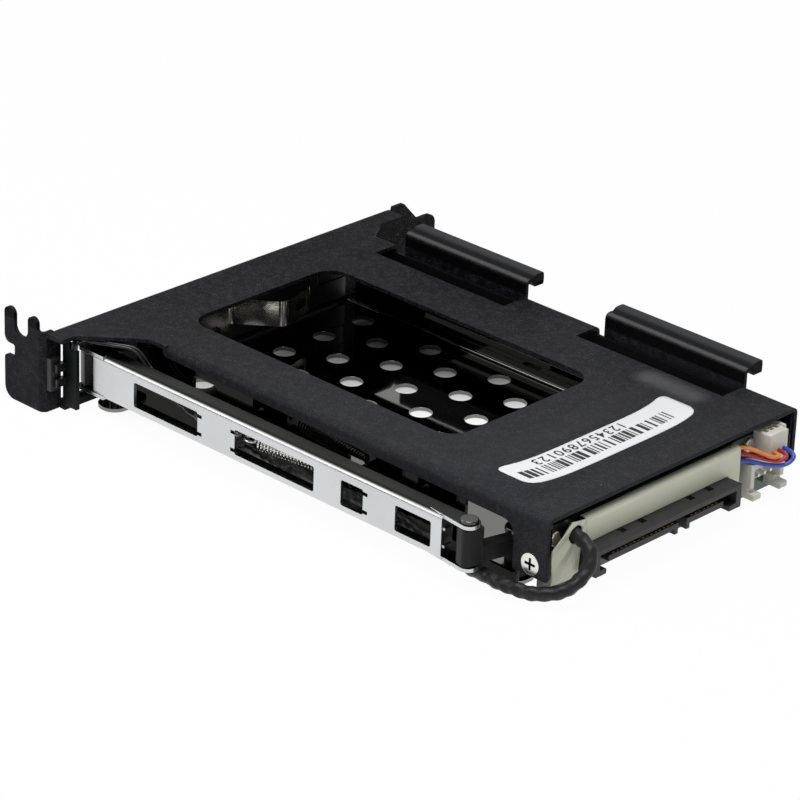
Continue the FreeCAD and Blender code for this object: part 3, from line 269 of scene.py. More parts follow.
def tab_light_and_shade(g, spot, normal, body):
    """Body colour with light and shade painted on the hook tabs: painted shade on their steep
    walls, a painted highlight on the bend, a darker valley and a paler lip."""
    facing = g.add("ShaderNodeSeparateXYZ", i0=normal).outputs["Z"]
    above = g.ramp(spot["Z"], 18.7 * MM, 19.2 * MM)
    # painted shade: steep faces above the plate are painted nearly black
    painted_dark_wall = g.math("MULTIPLY", above, g.ramp(facing, 0.6, 0.25, 0.0, 0.9))
    body = g.blend(painted_dark_wall, body, rgb(0.0008, 0.0008, 0.001))
    # painted light on the tab tops: a highlight on the bend, a dark valley and a paler lip
    lip = g.ramp(spot["Y"], at(0, 93.1, 0).y, at(0, 94.0, 0).y)
    bend_highlight = g.ramp(spot["Y"], at(0, 92.1, 0).y, at(0, 91.5, 0).y)
    top = g.math("MULTIPLY", g.ramp(spot["Z"], 21.5 * MM, 22.0 * MM), g.ramp(facing, 0.45, 0.8))
    painted_top_tones = g.blend(bend_highlight, g.blend(lip, rgb(0.008, 0.008, 0.009), rgb(0.042, 0.043, 0.045)),
                    rgb(0.09, 0.09, 0.092))
    return g.blend(g.math("MULTIPLY", top, 0.85), body, painted_top_tones)


def powder_coat():
    """Black powder coat: orange peel with painted glints on its crowns, a painted highlight beside
    the label, dust, rubbed edges and a soft swelling of the plate round the label. Its base colour
    pales from the far corner to the near rear one. That is painted light, fixed to the part and
    turned to the studio camera. The hook tabs get painted light and shade."""
    material, g, where, shader = new_material("powder_coat", Specular_IOR_Level=0.05)
    skin = use(g, GRAIN, where, Scale=4200.0, Coarse=0.3)
    dust = use(g, DUST, where, Scale=330.0, Share=0.035, Size=0.06)
    normal, edge = rounded(g, 0.22)
    spot = g.add("ShaderNodeSeparateXYZ", i0=where).outputs
    away = g.math("SUBTRACT", g.math("MULTIPLY", spot["Y"], math.cos(PALING_TURN)),
                  g.math("MULTIPLY", spot["X"], math.sin(PALING_TURN)))
    paling = g.ramp(away, 0.05, -0.06)
    dark = g.blend(paling, rgb(0.0006, 0.0007, 0.0015), rgb(0.0185, 0.019, 0.0225))
    pale = g.blend(paling, rgb(0.0014, 0.0015, 0.0025), rgb(0.0225, 0.023, 0.0265))
    body = g.blend(g.ramp(skin["Mottle"], 0.3, 0.7), dark, pale)
    # painted glints: the crowns of the orange peel are painted paler
    painted_glint = g.math("MULTIPLY", g.ramp(skin["Height"], 0.62, 0.86), 0.65)
    body = g.blend(painted_glint, body, rgb(0.06, 0.06, 0.067))
    # painted highlight beside the label's far end, paler on the grain's crowns
    painted_highlight = g.math("MULTIPLY", painted_highlight_bar(g, where), g.ramp(skin["Height"], 0.3, 0.8, 0.45, 1.0))
    body = g.blend(painted_highlight, body, rgb(0.085, 0.085, 0.088))
    body = g.blend(g.math("MULTIPLY", edge, 0.4), body, rgb(0.035, 0.035, 0.038))
    # painted light and shade on the hook tabs
    body = tab_light_and_shade(g, spot, normal, body)
    body = g.blend(g.math("MULTIPLY", dust["Mask"], 0.5), body, rgb(0.2, 0.2, 0.2))
    g.feed(shader.inputs["Base Color"], body)
    g.feed(shader.inputs["Roughness"], g.ramp(skin["Mottle"], 0.3, 0.7, 0.42, 0.48))
    swell = g.add("ShaderNodeBump", Strength=1.0, Distance=1.1 * MM)
    g.feed(swell.inputs["Height"], swelling(g, where))
    g.feed(swell.inputs["Normal"], normal)
    relief(g, shader, skin["Height"], 0.03, swell.outputs[0])
    return material


def bright_metal(name, colour, gloss, dull, scale, depth, edge_radius=0.12, darker=0.85,
                 stretch=0.03, painted_top_reflection=None):
    """Metal with rolling lines: colour and gloss drift slowly, edges are rolled over. Faces that
    look up can be painted one colour of their own, a painted reflection on their tops."""
    material, g, where, shader = new_material(name, Metallic=1.0)
    lines = use(g, STREAKS, where, Scale=scale, Stretch=stretch)
    normal, edge = rounded(g, edge_radius)
    low = rgb(*(c * darker for c in colour))
    body = g.blend(g.ramp(lines["Mottle"], 0.3, 0.7), low, rgb(*colour))
    bright = rgb(*(min(1.0, c * 1.15 + 0.02) for c in colour))
    body = g.blend(g.math("MULTIPLY", edge, 0.6), body, bright)
    # painted reflection: faces that look up take the top colour
    if painted_top_reflection:
        facing = g.add("ShaderNodeSeparateXYZ", i0=normal).outputs["Z"]
        body = g.blend(g.ramp(facing, 0.45, 0.85), body, rgb(*painted_top_reflection))
    g.feed(shader.inputs["Base Color"], body)
    g.feed(shader.inputs["Roughness"], g.ramp(lines["Mottle"], 0.25, 0.75, gloss, dull))
    relief(g, shader, lines["Height"], depth, normal)
    return material


def recessed_screw():
    """Nickel screw whose cross recess is painted near black below the face, as painted shade."""
    material, g, where, shader = new_material("recessed_screw", Metallic=1.0)
    lines = use(g, STREAKS, where, Scale=1500.0, Stretch=0.6)
    normal, edge = rounded(g, 0.08)
    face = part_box("leg_screw")[0]
    depth = g.math("SUBTRACT", g.add("ShaderNodeSeparateXYZ", i0=where).outputs["Y"], face.y)
    # painted shade: the recess darkens with depth below the face
    shade = g.ramp(depth, 0.16 * MM, 0.4 * MM)
    body = g.blend(g.ramp(lines["Mottle"], 0.3, 0.7), rgb(0.6, 0.59, 0.57), rgb(0.8, 0.79, 0.77))
    g.feed(shader.inputs["Base Color"], g.blend(shade, body, rgb(0.012, 0.012, 0.012)))
    g.feed(shader.inputs["Roughness"], g.ramp(edge, 0.0, 1.0, 0.16, 0.26))
    relief(g, shader, lines["Height"], 0.008, normal)
    return material


def plated_tray():
    """Plating with painted tones: a mid grey floor, walls painted nearly black as a painted dark
    reflection, and a plain black band along the far wall's top edge."""
    material, g, where, shader = new_material("plated_tray", Specular_IOR_Level=0.08)
    lines = use(g, STREAKS, where, Scale=500.0, Stretch=0.03)
    normal, edge = rounded(g, 0.12)
    spot = g.add("ShaderNodeSeparateXYZ", i0=where).outputs
    facing = g.add("ShaderNodeSeparateXYZ", i0=normal).outputs["Y"]
    outer = g.math("MULTIPLY", g.ramp(facing, 0.4, 0.6),
                   g.ramp(spot["Y"], at(0, 60.0, 0).y, at(0, 61.0, 0).y))
    # painted reflection: the walls are painted nearly black against the floor
    painted_dark_wall = g.math("MULTIPLY", g.ramp(spot["Z"], 0.9 * MM, 1.8 * MM),
                  g.math("SUBTRACT", 1.0, outer))
    body = g.blend(painted_dark_wall, rgb(0.22, 0.22, 0.215), rgb(0.014, 0.0135, 0.013))
    body = g.blend(g.math("MULTIPLY", edge, 0.3), body, rgb(0.25, 0.25, 0.24))
    band = g.math("MULTIPLY", g.ramp(spot["Y"], at(0, 86.0, 0).y, at(0, 87.0, 0).y),
                  g.ramp(spot["Z"], 12.0 * MM, 13.0 * MM))
    g.feed(shader.inputs["Base Color"], g.blend(band, body, rgb(0.004, 0.004, 0.0045)))
    g.feed(shader.inputs["Metallic"], g.ramp(band, 0.0, 1.0, 1.0, 0.0))
    dull = g.ramp(lines["Mottle"], 0.25, 0.75, 0.02, 0.07)
    g.feed(shader.inputs["Roughness"], g.math("MAXIMUM", dull, g.math("MULTIPLY", band, 0.5)))
    relief(g, shader, lines["Height"], 0.002, normal)
    return material


def cream_film():
    """Cream insulating film: satin, a little mottled, with pale scuff marks."""
    material, g, where, shader = new_material("cream_film", Subsurface_Weight=0.1,
                                              Subsurface_Scale=0.0008)
    skin = use(g, GRAIN, where, Scale=700.0, Coarse=0.6)
    scuffs = use(g, DUST, where, Scale=420.0, Share=0.12, Size=0.16)
    body = g.blend(g.ramp(skin["Mottle"], 0.3, 0.7), rgb(0.64, 0.655, 0.5), rgb(0.76, 0.775, 0.62))
    body = g.blend(g.math("MULTIPLY", scuffs["Mask"], 0.7), body, rgb(0.85, 0.85, 0.78))
    g.feed(shader.inputs["Base Color"], body)
    g.feed(shader.inputs["Roughness"], g.ramp(skin["Mottle"], 0.3, 0.7, 0.26, 0.38))
    relief(g, shader, skin["Height"], 0.02)
    return material


def moulded(name, dark, light, gloss, dull, scale, depth, edge_radius=0.15, worn=None,
            **fixed):
    """Moulded plastic: spark-eroded grain, slow tone drift and softly broken edges."""
    material, g, where, shader = new_material(name, **fixed)
    skin = use(g, GRAIN, where, Scale=scale, Coarse=0.4)
    normal, edge = rounded(g, edge_radius)
    body = g.blend(g.ramp(skin["Mottle"], 0.3, 0.7), rgb(*dark), rgb(*light))
    if worn:
        body = g.blend(g.math("MULTIPLY", edge, 0.5), body, rgb(*worn))
    g.feed(shader.inputs["Base Color"], body)
    g.feed(shader.inputs["Roughness"], g.ramp(skin["Mottle"], 0.3, 0.7, gloss, dull))
    relief(g, shader, skin["Height"], depth, normal)
    return material


def circuit_board():
    """Green solder mask over copper runs with plated holes by the header; on the near side of it
    the board is painted near black, as painted shade under the cover's edge."""
    material, g, where, shader = new_material("circuit_board", Coat_Weight=0.4)
    cells = g.add("ShaderNodeTexVoronoi", {"distance": "MANHATTAN", "feature": "F2"},
                  i0=where, Scale=420.0)
    runs = g.ramp(cells.outputs["Distance"], 0.55, 0.6)
    skin = use(g, GRAIN, where, Scale=900.0)
    body = g.blend(runs, rgb(0.006, 0.042, 0.02), rgb(0.014, 0.08, 0.038))
    dots = g.add("ShaderNodeTexVoronoi", i0=where, Scale=700.0)
    pad = g.math("LESS_THAN", dots.outputs["Distance"], 0.17)
    chosen = g.add("ShaderNodeSeparateColor", i0=dots.outputs["Color"])
    pad = g.math("MULTIPLY", pad, g.math("LESS_THAN", chosen.outputs[1], 0.25))
    body = g.blend(pad, body, rgb(0.55, 0.53, 0.47))
    # painted shade: near black on the near side of the header, under the cover's edge
    along = g.add("ShaderNodeSeparateXYZ", i0=where).outputs["Y"]
    unshaded = g.ramp(along, at(0, 73.0, 0).y, at(0, 75.0, 0).y)
    g.feed(shader.inputs["Base Color"], g.blend(unshaded, rgb(0.003, 0.01, 0.006), body))
    g.feed(shader.inputs["Metallic"], g.math("MULTIPLY", pad, unshaded))
    g.feed(shader.inputs["Roughness"], g.ramp(skin["Mottle"], 0.3, 0.7, 0.28, 0.42))
    relief(g, shader, g.math("ADD", runs, g.math("MULTIPLY", skin["Height"], 0.2)), 0.03)
    return material


def smoked_lamp():
    """Unlit lamp in dark smoked plastic with a few inner flow lines."""
    material, g, where, shader = new_material("smoked_lamp", Transmission_Weight=0.3, IOR=1.49)
    skin = use(g, GRAIN, where, Scale=900.0, Coarse=1.2)
    body = g.blend(g.ramp(skin["Mottle"], 0.3, 0.7), rgb(0.012, 0.012, 0.013),
                   rgb(0.03, 0.03, 0.032))
    g.feed(shader.inputs["Base Color"], body)
    g.feed(shader.inputs["Roughness"], g.ramp(skin["Mottle"], 0.3, 0.7, 0.2, 0.34))
    relief(g, shader, skin["Height"], 0.01)
    return material


def woven_sleeve():
    """Soft black sleeving: crossed plaits along the piece's own UV, glossy on the crowns."""
    material, g, _, shader = new_material("woven_sleeve", Specular_IOR_Level=0.3)
    uv = g.add("ShaderNodeUVMap").outputs[0]
    parts = g.add("ShaderNodeSeparateXYZ", i0=uv)
    along = g.math("MULTIPLY", parts.outputs[0], 520.0)
    round_it = g.math("MULTIPLY", parts.outputs[1], 4 * math.pi)
    left = g.math("SINE", g.math("ADD", along, round_it))
    right = g.math("SINE", g.math("SUBTRACT", along, round_it))
    plait = g.math("ABSOLUTE", g.math("MULTIPLY", left, right))
    skin = use(g, GRAIN, g.add("ShaderNodeTexCoord").outputs["Object"], Scale=1500.0)
    body = g.blend(g.ramp(skin["Mottle"], 0.35, 0.65), rgb(0.007, 0.007, 0.0075),
                   rgb(0.02, 0.02, 0.021))
    g.feed(shader.inputs["Base Color"], body)
    g.feed(shader.inputs["Roughness"], g.ramp(skin["Mottle"], 0.3, 0.7, 0.32, 0.5))
    height = g.math("ADD", g.math("MULTIPLY", plait, 0.35), skin["Height"])
    relief(g, shader, height, 0.1)
    return material


def wire_skin(name, dark, light, coat=0.3):
    """Glossy extruded wire skin: faint draw lines and slow tone drift along the wire."""
    material, g, where, shader = new_material(name, Coat_Weight=coat)
    lines = use(g, STREAKS, where, Scale=2500.0, Stretch=0.2)
    g.feed(shader.inputs["Base Color"],
           g.blend(g.ramp(lines["Mottle"], 0.3, 0.7), rgb(*dark), rgb(*light)))
    g.feed(shader.inputs["Roughness"], g.ramp(lines["Mottle"], 0.3, 0.7, 0.22, 0.36))
    relief(g, shader, lines["Height"], 0.01)
    return material


def label_paper():
    """Coated white label stock, with a very faint fibre and a satin skin."""
    material, g, where, shader = new_material("label_paper", Specular_IOR_Level=0.4)
    skin = use(g, GRAIN, where, Scale=1400.0, Coarse=0.5)
    body = g.blend(g.ramp(skin["Mottle"], 0.3, 0.7), rgb(0.72, 0.73, 0.74),
                   rgb(0.82, 0.83, 0.84))
    g.feed(shader.inputs["Base Color"], body)
    g.feed(shader.inputs["Roughness"], g.ramp(skin["Mottle"], 0.3, 0.7, 0.4, 0.5))
    relief(g, shader, skin["Height"], 0.004)
    return material


def print_ink():
    """Thermal print: black with pinholes where the paper shows."""
    material, g, where, shader = new_material("print_ink")
    holes = use(g, DUST, where, Scale=2500.0, Share=0.25, Size=0.3)
    body = g.blend(g.math("MULTIPLY", holes["Mask"], 0.35), rgb(0.008, 0.008, 0.009),
                   rgb(0.2, 0.2, 0.21))
    g.feed(shader.inputs["Base Color"], body)
    skin = use(g, GRAIN, where, Scale=1400.0)
    g.feed(shader.inputs["Roughness"], g.ramp(skin["Mottle"], 0.3, 0.7, 0.45, 0.6))
    return material


FINISHES = {
    "powder_black": powder_coat(),
    "plated_steel": plated_tray(),
    "moulded_black": moulded("moulded_black", (0.018, 0.018, 0.019), (0.03, 0.03, 0.031),
                             0.36, 0.5, 2200.0, 0.02, worn=(0.06, 0.06, 0.06)),
    "spring_steel": bright_metal("spring_steel", (0.78, 0.76, 0.67), 0.06, 0.2, 900.0, 0.02),
    "rivet_steel": bright_metal("rivet_steel", (0.12, 0.118, 0.112), 0.18, 0.34, 1500.0, 0.015,
                                stretch=0.5),
    # tinned steel: its up-facing faces get a dark painted reflection
    "tinned_steel": bright_metal("tinned_steel", (0.67, 0.685, 0.69), 0.2, 0.34, 700.0, 0.012,
                                 darker=0.9, painted_top_reflection=(0.022, 0.022, 0.02)),
    "lever_black": moulded("lever_black", (0.006, 0.006, 0.0065), (0.012, 0.012, 0.0125),
                           0.26, 0.4, 1600.0, 0.015, worn=(0.05, 0.05, 0.05),
                           Specular_IOR_Level=0.2),
    "spring_wire": bright_metal("spring_wire", (0.82, 0.81, 0.78), 0.14, 0.26, 1800.0, 0.01),
    "board_green": circuit_board(),
    "screw_nickel": bright_metal("screw_nickel", (0.8, 0.79, 0.77), 0.14, 0.26, 1500.0, 0.008,
                                 stretch=0.6, darker=0.9),
    "connector_black": moulded("connector_black", (0.014, 0.014, 0.015), (0.022, 0.022, 0.023),
                               0.42, 0.56, 1800.0, 0.02, worn=(0.05, 0.05, 0.05)),
    "contact_gold": bright_metal("contact_gold", (0.86, 0.62, 0.26), 0.18, 0.3, 1800.0, 0.006),
    "insulator_cream": cream_film(),
    "nylon_white": moulded("nylon_white", (0.66, 0.66, 0.58), (0.74, 0.74, 0.67),
                           0.34, 0.48, 1400.0, 0.01, Subsurface_Weight=0.15,
                           Subsurface_Scale=0.001),
    "contact_tin": bright_metal("contact_tin", (0.74, 0.74, 0.74), 0.2, 0.32, 1800.0, 0.006),
    "wire_orange": wire_skin("wire_orange", (0.72, 0.2, 0.035), (0.85, 0.3, 0.06)),
    "wire_red": wire_skin("wire_red", (0.36, 0.012, 0.02), (0.5, 0.02, 0.03)),
    "wire_blue": wire_skin("wire_blue", (0.02, 0.06, 0.42), (0.04, 0.1, 0.58)),
    "wire_black": wire_skin("wire_black", (0.005, 0.005, 0.0055), (0.012, 0.012, 0.0125),
                            0.0),
    "board_dark": moulded("dark_board", (0.002, 0.005, 0.004), (0.004, 0.009, 0.007),
                          0.4, 0.52, 900.0, 0.01, worn=(0.02, 0.035, 0.028),
                          Specular_IOR_Level=0.15),
    "lamp_clear": smoked_lamp(),
    "sleeve_black": woven_sleeve(),
}
LEG_SCREW = recessed_screw()
PAPER = label_paper()
INK = print_ink()


def finish_node(node, material):
    """Gives every slot of a CAD node's object the material."""
    mesh = nodes[node].data
    if not mesh.materials:
        mesh.materials.append(material)
    for index in range(len(mesh.materials)):
        mesh.materials[index] = material


for node, slot in slot_of.items():
    finish_node(node, LEG_SCREW if node == "leg_screw" else FINISHES[slot])


# ---------------------------------------------------------------- surface helpers
def grid_faces(rows, columns, wrap=False):
    """Corner indices of the quads between the points of a rows by columns grid."""
    i, j = np.meshgrid(np.arange(rows - 1), np.arange(columns if wrap else columns - 1),
                       indexing="ij")
    k = (j + 1) % columns
    return np.stack([i * columns + j, i * columns + k, (i + 1) * columns + k,
                     (i + 1) * columns + j], -1).reshape(-1, 4)


def piece(name, points, faces, material, body, uv=None, smooth=True):
    """A mesh object from metres and corner lists; uv gives one pair per point."""
    mesh = bpy.data.meshes.new(name)
    faces = faces.tolist() if isinstance(faces, np.ndarray) else faces
    mesh.from_pydata(np.asarray(points).reshape(-1, 3).tolist(), [],
                     [tuple(face) for face in faces])
    mesh.polygons.foreach_set("use_smooth", [smooth] * len(mesh.polygons))
    if uv is not None:
        corners = np.zeros(len(mesh.loops), int)
        mesh.loops.foreach_get("vertex_index", corners)
        layer = mesh.uv_layers.new(name="UVMap")
        layer.data.foreach_set("uv", np.asarray(uv).reshape(-1, 2)[corners].ravel())
    mesh.materials.append(material)
    mesh.update()
    thing = bpy.data.objects.new(name, mesh)
    bpy.context.scene.collection.objects.link(thing)
    if body:
        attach(thing, body)
    return thing


def side_vectors(line, reference):
    """Unit tangent, side and up of a line of points; side is tangent crossed with reference."""
    tangent = np.gradient(line, axis=0)
    tangent /= np.linalg.norm(tangent, axis=1, keepdims=True)
    side = np.cross(tangent, reference)
    side /= np.linalg.norm(side, axis=1, keepdims=True)
    return tangent, side, np.cross(side, tangent)


def tube(name, line, radius, sides, material, body, reference):
    """A closed tube: a ring of given sides round each point of line, its radius an array of
    one value per ring point, and a rounded cap of two shrinking rings at each end."""
    line = np.asarray(line, float)
    count = len(line)
    tangent, side, up = side_vectors(line, reference)
    angle = np.arange(sides) * 2 * np.pi / sides
    spread = np.broadcast_to(np.asarray(radius, float), (count, sides))
    ring = (side[:, None, :] * np.cos(angle)[None, :, None]
            + up[:, None, :] * np.sin(angle)[None, :, None])
    points = line[:, None, :] + ring * spread[:, :, None]
    reach = np.linalg.norm(np.diff(line, axis=0), axis=1)
    length = np.concatenate([[0.0], np.cumsum(reach)])
    mean = float(spread.mean())
    caps = []
    for end, sign in ((0, -1.0), (count - 1, 1.0)):
        for shrink, push in ((0.7, 0.7), (0.05, 1.0)):
            caps.append(line[end] + ring[end] * spread[end][:, None] * shrink
                        + tangent[end] * sign * push * mean * 0.6)
    points = np.concatenate([[caps[1]], [caps[0]], points, [caps[2]], [caps[3]]])
    lengths = np.concatenate([[0, 0], length, [length[-1]] * 2])
    rows = count + 4
    faces = grid_faces(rows, sides, wrap=True)
    lids = [list(range(sides))[::-1], [(rows - 1) * sides + k for k in range(sides)]]
    uv = np.stack(np.broadcast_arrays(lengths[:, None], angle[None, :] / (2 * np.pi)), -1)
    closed = faces[:, ::-1].tolist() + [lid[::-1] for lid in lids]
    return piece(name, points, closed, material, body, uv)


def route_line(name, controls, steps):
    """Points of a NURBS spline whose control points are the route's, in metres."""
    curve = bpy.data.curves.new(name, "CURVE")
    curve.dimensions = "3D"
    spline = curve.splines.new("NURBS")
    spline.points.add(len(controls) - 1)
    for point, place_of in zip(spline.points, controls):
        point.co = (*at(*place_of), 1.0)
    spline.order_u = 3
    spline.use_endpoint_u = True
    curve.resolution_u = steps
    holder = bpy.data.objects.new(name, curve)
    mesh = bpy.data.meshes.new_from_object(holder)
    line = np.zeros(len(mesh.vertices) * 3)
    mesh.vertices.foreach_get("co", line)
    bpy.data.objects.remove(holder)
    bpy.data.meshes.remove(mesh)
    return line.reshape(-1, 3)


def even(line, step):
    """The line walked again at equal steps."""
    reach = np.linalg.norm(np.diff(line, axis=0), axis=1)
    length = np.concatenate([[0.0], np.cumsum(reach)])
    marks = np.linspace(0, length[-1], max(3, int(length[-1] / step)))
    return np.stack([np.interp(marks, length, line[:, k]) for k in range(3)], 1)


# ---------------------------------------------------------------- sleeve and leads
SLEEVE_RADIUS = 1.75
SLEEVE_ROUTE = (
    (24.0, 13.5, 10.2), (30.0, 13.5, 9.4), (38.0, 13.5, 6.6), (48.0, 13.4, 5.0),
    (62.0, 13.5, 5.2), (78.0, 13.4, 4.8), (94.0, 13.3, 5.2), (104.0, 12.9, 3.9),
    (112.0, 12.3, 2.9), (120.0, 12.0, 2.6), (126.6, 12.7, 2.6), (131.8, 15.0, 3.0),
    (135.0, 18.6, 5.0), (135.6, 22.2, 8.2), (133.4, 23.9, 12.4), (128.0, 23.9, 12.4))
WIRE_RADIUS = 0.45
LAMP_WIRE_RADIUS = 0.4
WIRE_SIDES = 14
LEADS = ("orange_lead", "red_lead", "blue_lead")


def sleeve():
    """Shrunk sleeve along the route: a tube whose radius dips in rings, twists and folds.

    The radius is the nominal one times one minus three sine terms of the length and the
    angle: short rings, a slow twist of four flats, and long soft dents.
    """
    line = even(route_line("sleeve_route", SLEEVE_ROUTE, 24), 0.35 * MM)
    sides = 40
    run = np.arange(len(line))[:, None] * 0.35
    turn = np.arange(sides)[None, :] * 2 * np.pi / sides
    rings = np.sin(run * 2.3 + np.sin(turn * 2 + run * 0.3) * 1.4)
    flats = np.sin(turn * 3 + run * 0.42)
    dents = np.sin(run * 0.61 + turn) * np.sin(run * 0.23 - turn * 2)
    radius = SLEEVE_RADIUS * MM * (1 - 0.05 * (1 - rings) - 0.055 * (1 - flats)
                                   - 0.075 * (1 - dents))
    made = tube("shrunk_sleeve", line, radius, sides, FINISHES["sleeve_black"], "root",
                np.array((0.3, 0.75, -0.6)))
    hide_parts("cable_sleeve")


def lead_route(index):
    """Control points of one lead, from behind the insulator to the wire plug's face."""
    board_back = 128.0
    plug_face = board_back + 4.6
    exit_y = 81.4 + 1.6 * index
    drop = 1.5 * index
    out = 0.8 * index
    return ((board_back + 0.8, 71.5, 14.7 - drop), (board_back + 0.95, 75.2, 14.4 - drop),
            (plug_face - 0.5 + out, 78.0 + out, 13.03 - drop),
            (plug_face + 1.5 + out, exit_y - 2.0, 12.1 - index),
            (plug_face + 2.0 + out, exit_y, 12.2), (plug_face, exit_y, 12.2))


def wire(name, node, controls, radius, reference):
    """A thin round wire along its route, in the place of a CAD node."""
    line = even(route_line(name + "_route", controls, 20), 0.2 * MM)
    made = tube(name, line, radius * MM, WIRE_SIDES, FINISHES[slot_of[node]], "root",
                np.array(reference))
    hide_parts(node)


def leads():
    """Three thin wires, each a round tube along its own route."""
    for index, node in enumerate(LEADS):
        wire(node + "_wire", node, lead_route(index), WIRE_RADIUS, (0.2, 0.3, 0.93))


def lamp_route(index):
    """Control points of one lamp wire, over the link's front and down into the sleeve."""
    aside = 0.95 * index
    start, high = 6.05 - aside, 16.98
    return ((start, 4.7, 15.0), (start, 4.7, high), (start, 6.7, high),
            (9.2 - aside * 0.5, 8.3 - aside, high), (13.0, 10.4 - aside, high),
            (16.4, 13.0 - aside, high - 0.3), (19.6, 14.0 - aside, 12.4),
            (23.85, 14.0 - aside, 10.2))


def lamp_wires():
    """The two lamp wires, each a round tube along its own route."""
    for index in range(2):
        wire(f"lamp_wire_{index}", "lamp_wires", lamp_route(index), LAMP_WIRE_RADIUS,
             (0.2, 0.93, 0.3))


# ---------------------------------------------------------------- insulating film
FILM_X = 129.7
FILM_THICK = 0.3
PLUG_TOP = 9.45
FLAP_HOLE = 1.95
FAN_CORNER = (28.5, 16.5)
STRIP_NEAR, STRIP_FAR, STRIP_FOOT, PLUG_END = 26.9, 74.0, 6.4, 70.4
STRIP_BEND_Z, STRIP_ROLL = 13.8, 1.0
SLEEVE_HOLE = np.array((23.9, 12.4))
FLAP_CORNERS = np.array(((17.3, 3.2), (25.3, 2.8), (25.4, 9.4), (27.6, 9.5), (27.6, 14.6),
                         (22.9, 15.3), (17.3, 10.9)))
FLAP_RINGS = 14


def film_strip():
    """Points of the strip: straight up from the host plug, then a roll of radius 1 mm back
    over its top, with a slow wave along its length."""
    along = np.sort(np.concatenate([np.linspace(STRIP_NEAR, STRIP_FAR, 90),
                                    (PLUG_END, PLUG_END + 0.02)]))
    foot = np.where(along > PLUG_END, STRIP_FOOT, PLUG_TOP)
    climb = np.linspace(0, 1, 12)[:, None]
    up = foot + climb * (STRIP_BEND_Z - foot)
    turn = np.linspace(0, np.radians(115), 12)[1:, None]
    z = np.concatenate([up, STRIP_BEND_Z + STRIP_ROLL * np.sin(turn) + 0 * along])
    x = np.concatenate([0 * up, STRIP_ROLL * (np.cos(turn) - 1) + 0 * along]) + FILM_X
    x = x + 0.07 * np.sin(along * 0.31) * np.sin(along * 0.11 + z * 0.4)
    return np.stack([x, along + 0 * z, z], -1)


def film_flap():
    """Points of the flap: rings between the sleeve's hole and the flap's outline, pushed in
    and out by a triangle wave of the angle round the upper far corner, as a folded fan."""
    out = FLAP_CORNERS - SLEEVE_HOLE
    corner_angles = np.arctan2(out[:, 1], out[:, 0])
    angle = np.sort(np.concatenate([np.linspace(-np.pi, np.pi, 72, endpoint=False),
                                    corner_angles]))
    ray = np.stack([np.cos(angle), np.sin(angle)], -1)[:, None, :]
    start, edge = out[None], (np.roll(out, -1, axis=0) - out)[None]
    cross = ray[..., 0] * edge[..., 1] - ray[..., 1] * edge[..., 0]
    cross = np.where(np.abs(cross) < 1e-9, 1e-9, cross)
    reach = (start[..., 0] * edge[..., 1] - start[..., 1] * edge[..., 0]) / cross
    share = (start[..., 0] * ray[..., 1] - start[..., 1] * ray[..., 0]) / cross
    valid = (reach > 0) & (share > -1e-6) & (share < 1 + 1e-6)
    rim = np.where(valid, reach, 99.0).min(axis=1)
    t = np.linspace(0, 1, FLAP_RINGS)[:, None]
    radius = FLAP_HOLE + t * (rim[None] - FLAP_HOLE)
    y = SLEEVE_HOLE[0] + radius * np.cos(angle)
    z = SLEEVE_HOLE[1] + radius * np.sin(angle)
    fan = np.arctan2(FAN_CORNER[1] - z, FAN_CORNER[0] - y)
    wave = np.abs((fan * 2.6) % 1.0 - 0.5) * 2 - 0.5
    far = np.hypot(FAN_CORNER[0] - y, FAN_CORNER[1] - z)
    return np.stack([FILM_X - 0.1 + 0.36 * wave * np.clip(far / 9.0, 0, 1), y, z], -1)


def insulating_film():
    """Strip and flap in one mesh, thickened inward."""
    strip, flap = film_strip(), film_flap()
    first = grid_faces(*strip.shape[:2])
    second = grid_faces(*flap.shape[:2], wrap=True) + strip.shape[0] * strip.shape[1]
    points = np.concatenate([strip.reshape(-1, 3), flap.reshape(-1, 3)])
    film = piece("insulating_film", place(points), np.concatenate([first[:, ::-1], second]),
                 FINISHES["insulator_cream"], "root", smooth=False)
    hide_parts("insulator")
    thick = film.modifiers.new("thickness", "SOLIDIFY")
    thick.thickness = FILM_THICK * MM
    thick.offset = -1.0


# ---------------------------------------------------------------- raised lips of the tabs
TAB_LIPS = ((19.2, 55.5), (78.3, 116.6))
LIP_PROFILE = ((92.3, 22.0), (92.95, 22.28), (93.3, 22.4), (93.9, 22.86), (94.7, 22.89),
               (95.8, 22.89), (96.45, 22.8), (96.6, 21.9), (96.6, 20.3), (96.3, 20.1),
               (93.6, 20.5))


def tab_lips():
    """The hook tabs' outer lips, one step above their inner bend.

    The profile's corners are cut twice, each time at a quarter and three quarters of every
    side, and the closed line is drawn along each tab.
    """
    line = np.array(LIP_PROFILE)
    for _ in range(2):
        after = np.roll(line, -1, axis=0)
        line = np.stack([0.75 * line + 0.25 * after, 0.25 * line + 0.75 * after], 1)
        line = line.reshape(-1, 2)
    count = len(line)
    for index, ends in enumerate(TAB_LIPS):
        points = [np.column_stack([np.full(count, end), line]) for end in ends]
        faces = grid_faces(2, count, wrap=True).tolist()
        faces += [list(range(count))[::-1], list(range(count, 2 * count))]
        lip = piece(f"tab_lip_{index}", place(np.stack(points)), faces,
                    FINISHES["powder_black"], "root", smooth=False)
        ends_cut = lip.modifiers.new("soft_ends", "BEVEL")
        ends_cut.width = 0.25 * MM
        ends_cut.segments = 2
        ends_cut.limit_method = "ANGLE"
        ends_cut.angle_limit = math.radians(60)


# ---------------------------------------------------------------- return spring
SPRING_FROM = np.array((52.9, 9.3, 10.2))
SPRING_TO = np.array((80.6, 13.2, 10.2))
SPRING_RADIUS = 1.45
SPRING_WIRE = 0.24
SPRING_TURNS = 25
HOOK_LENGTH = 3.4


def smooth(line, times):
    """Each inner point moved half way to its neighbours' middle, a few times over."""
    for _ in range(times):
        line = np.concatenate([line[:1], line[1:-1] * 0.5 + (line[:-2] + line[2:]) * 0.25,
                               line[-1:]])
    return line


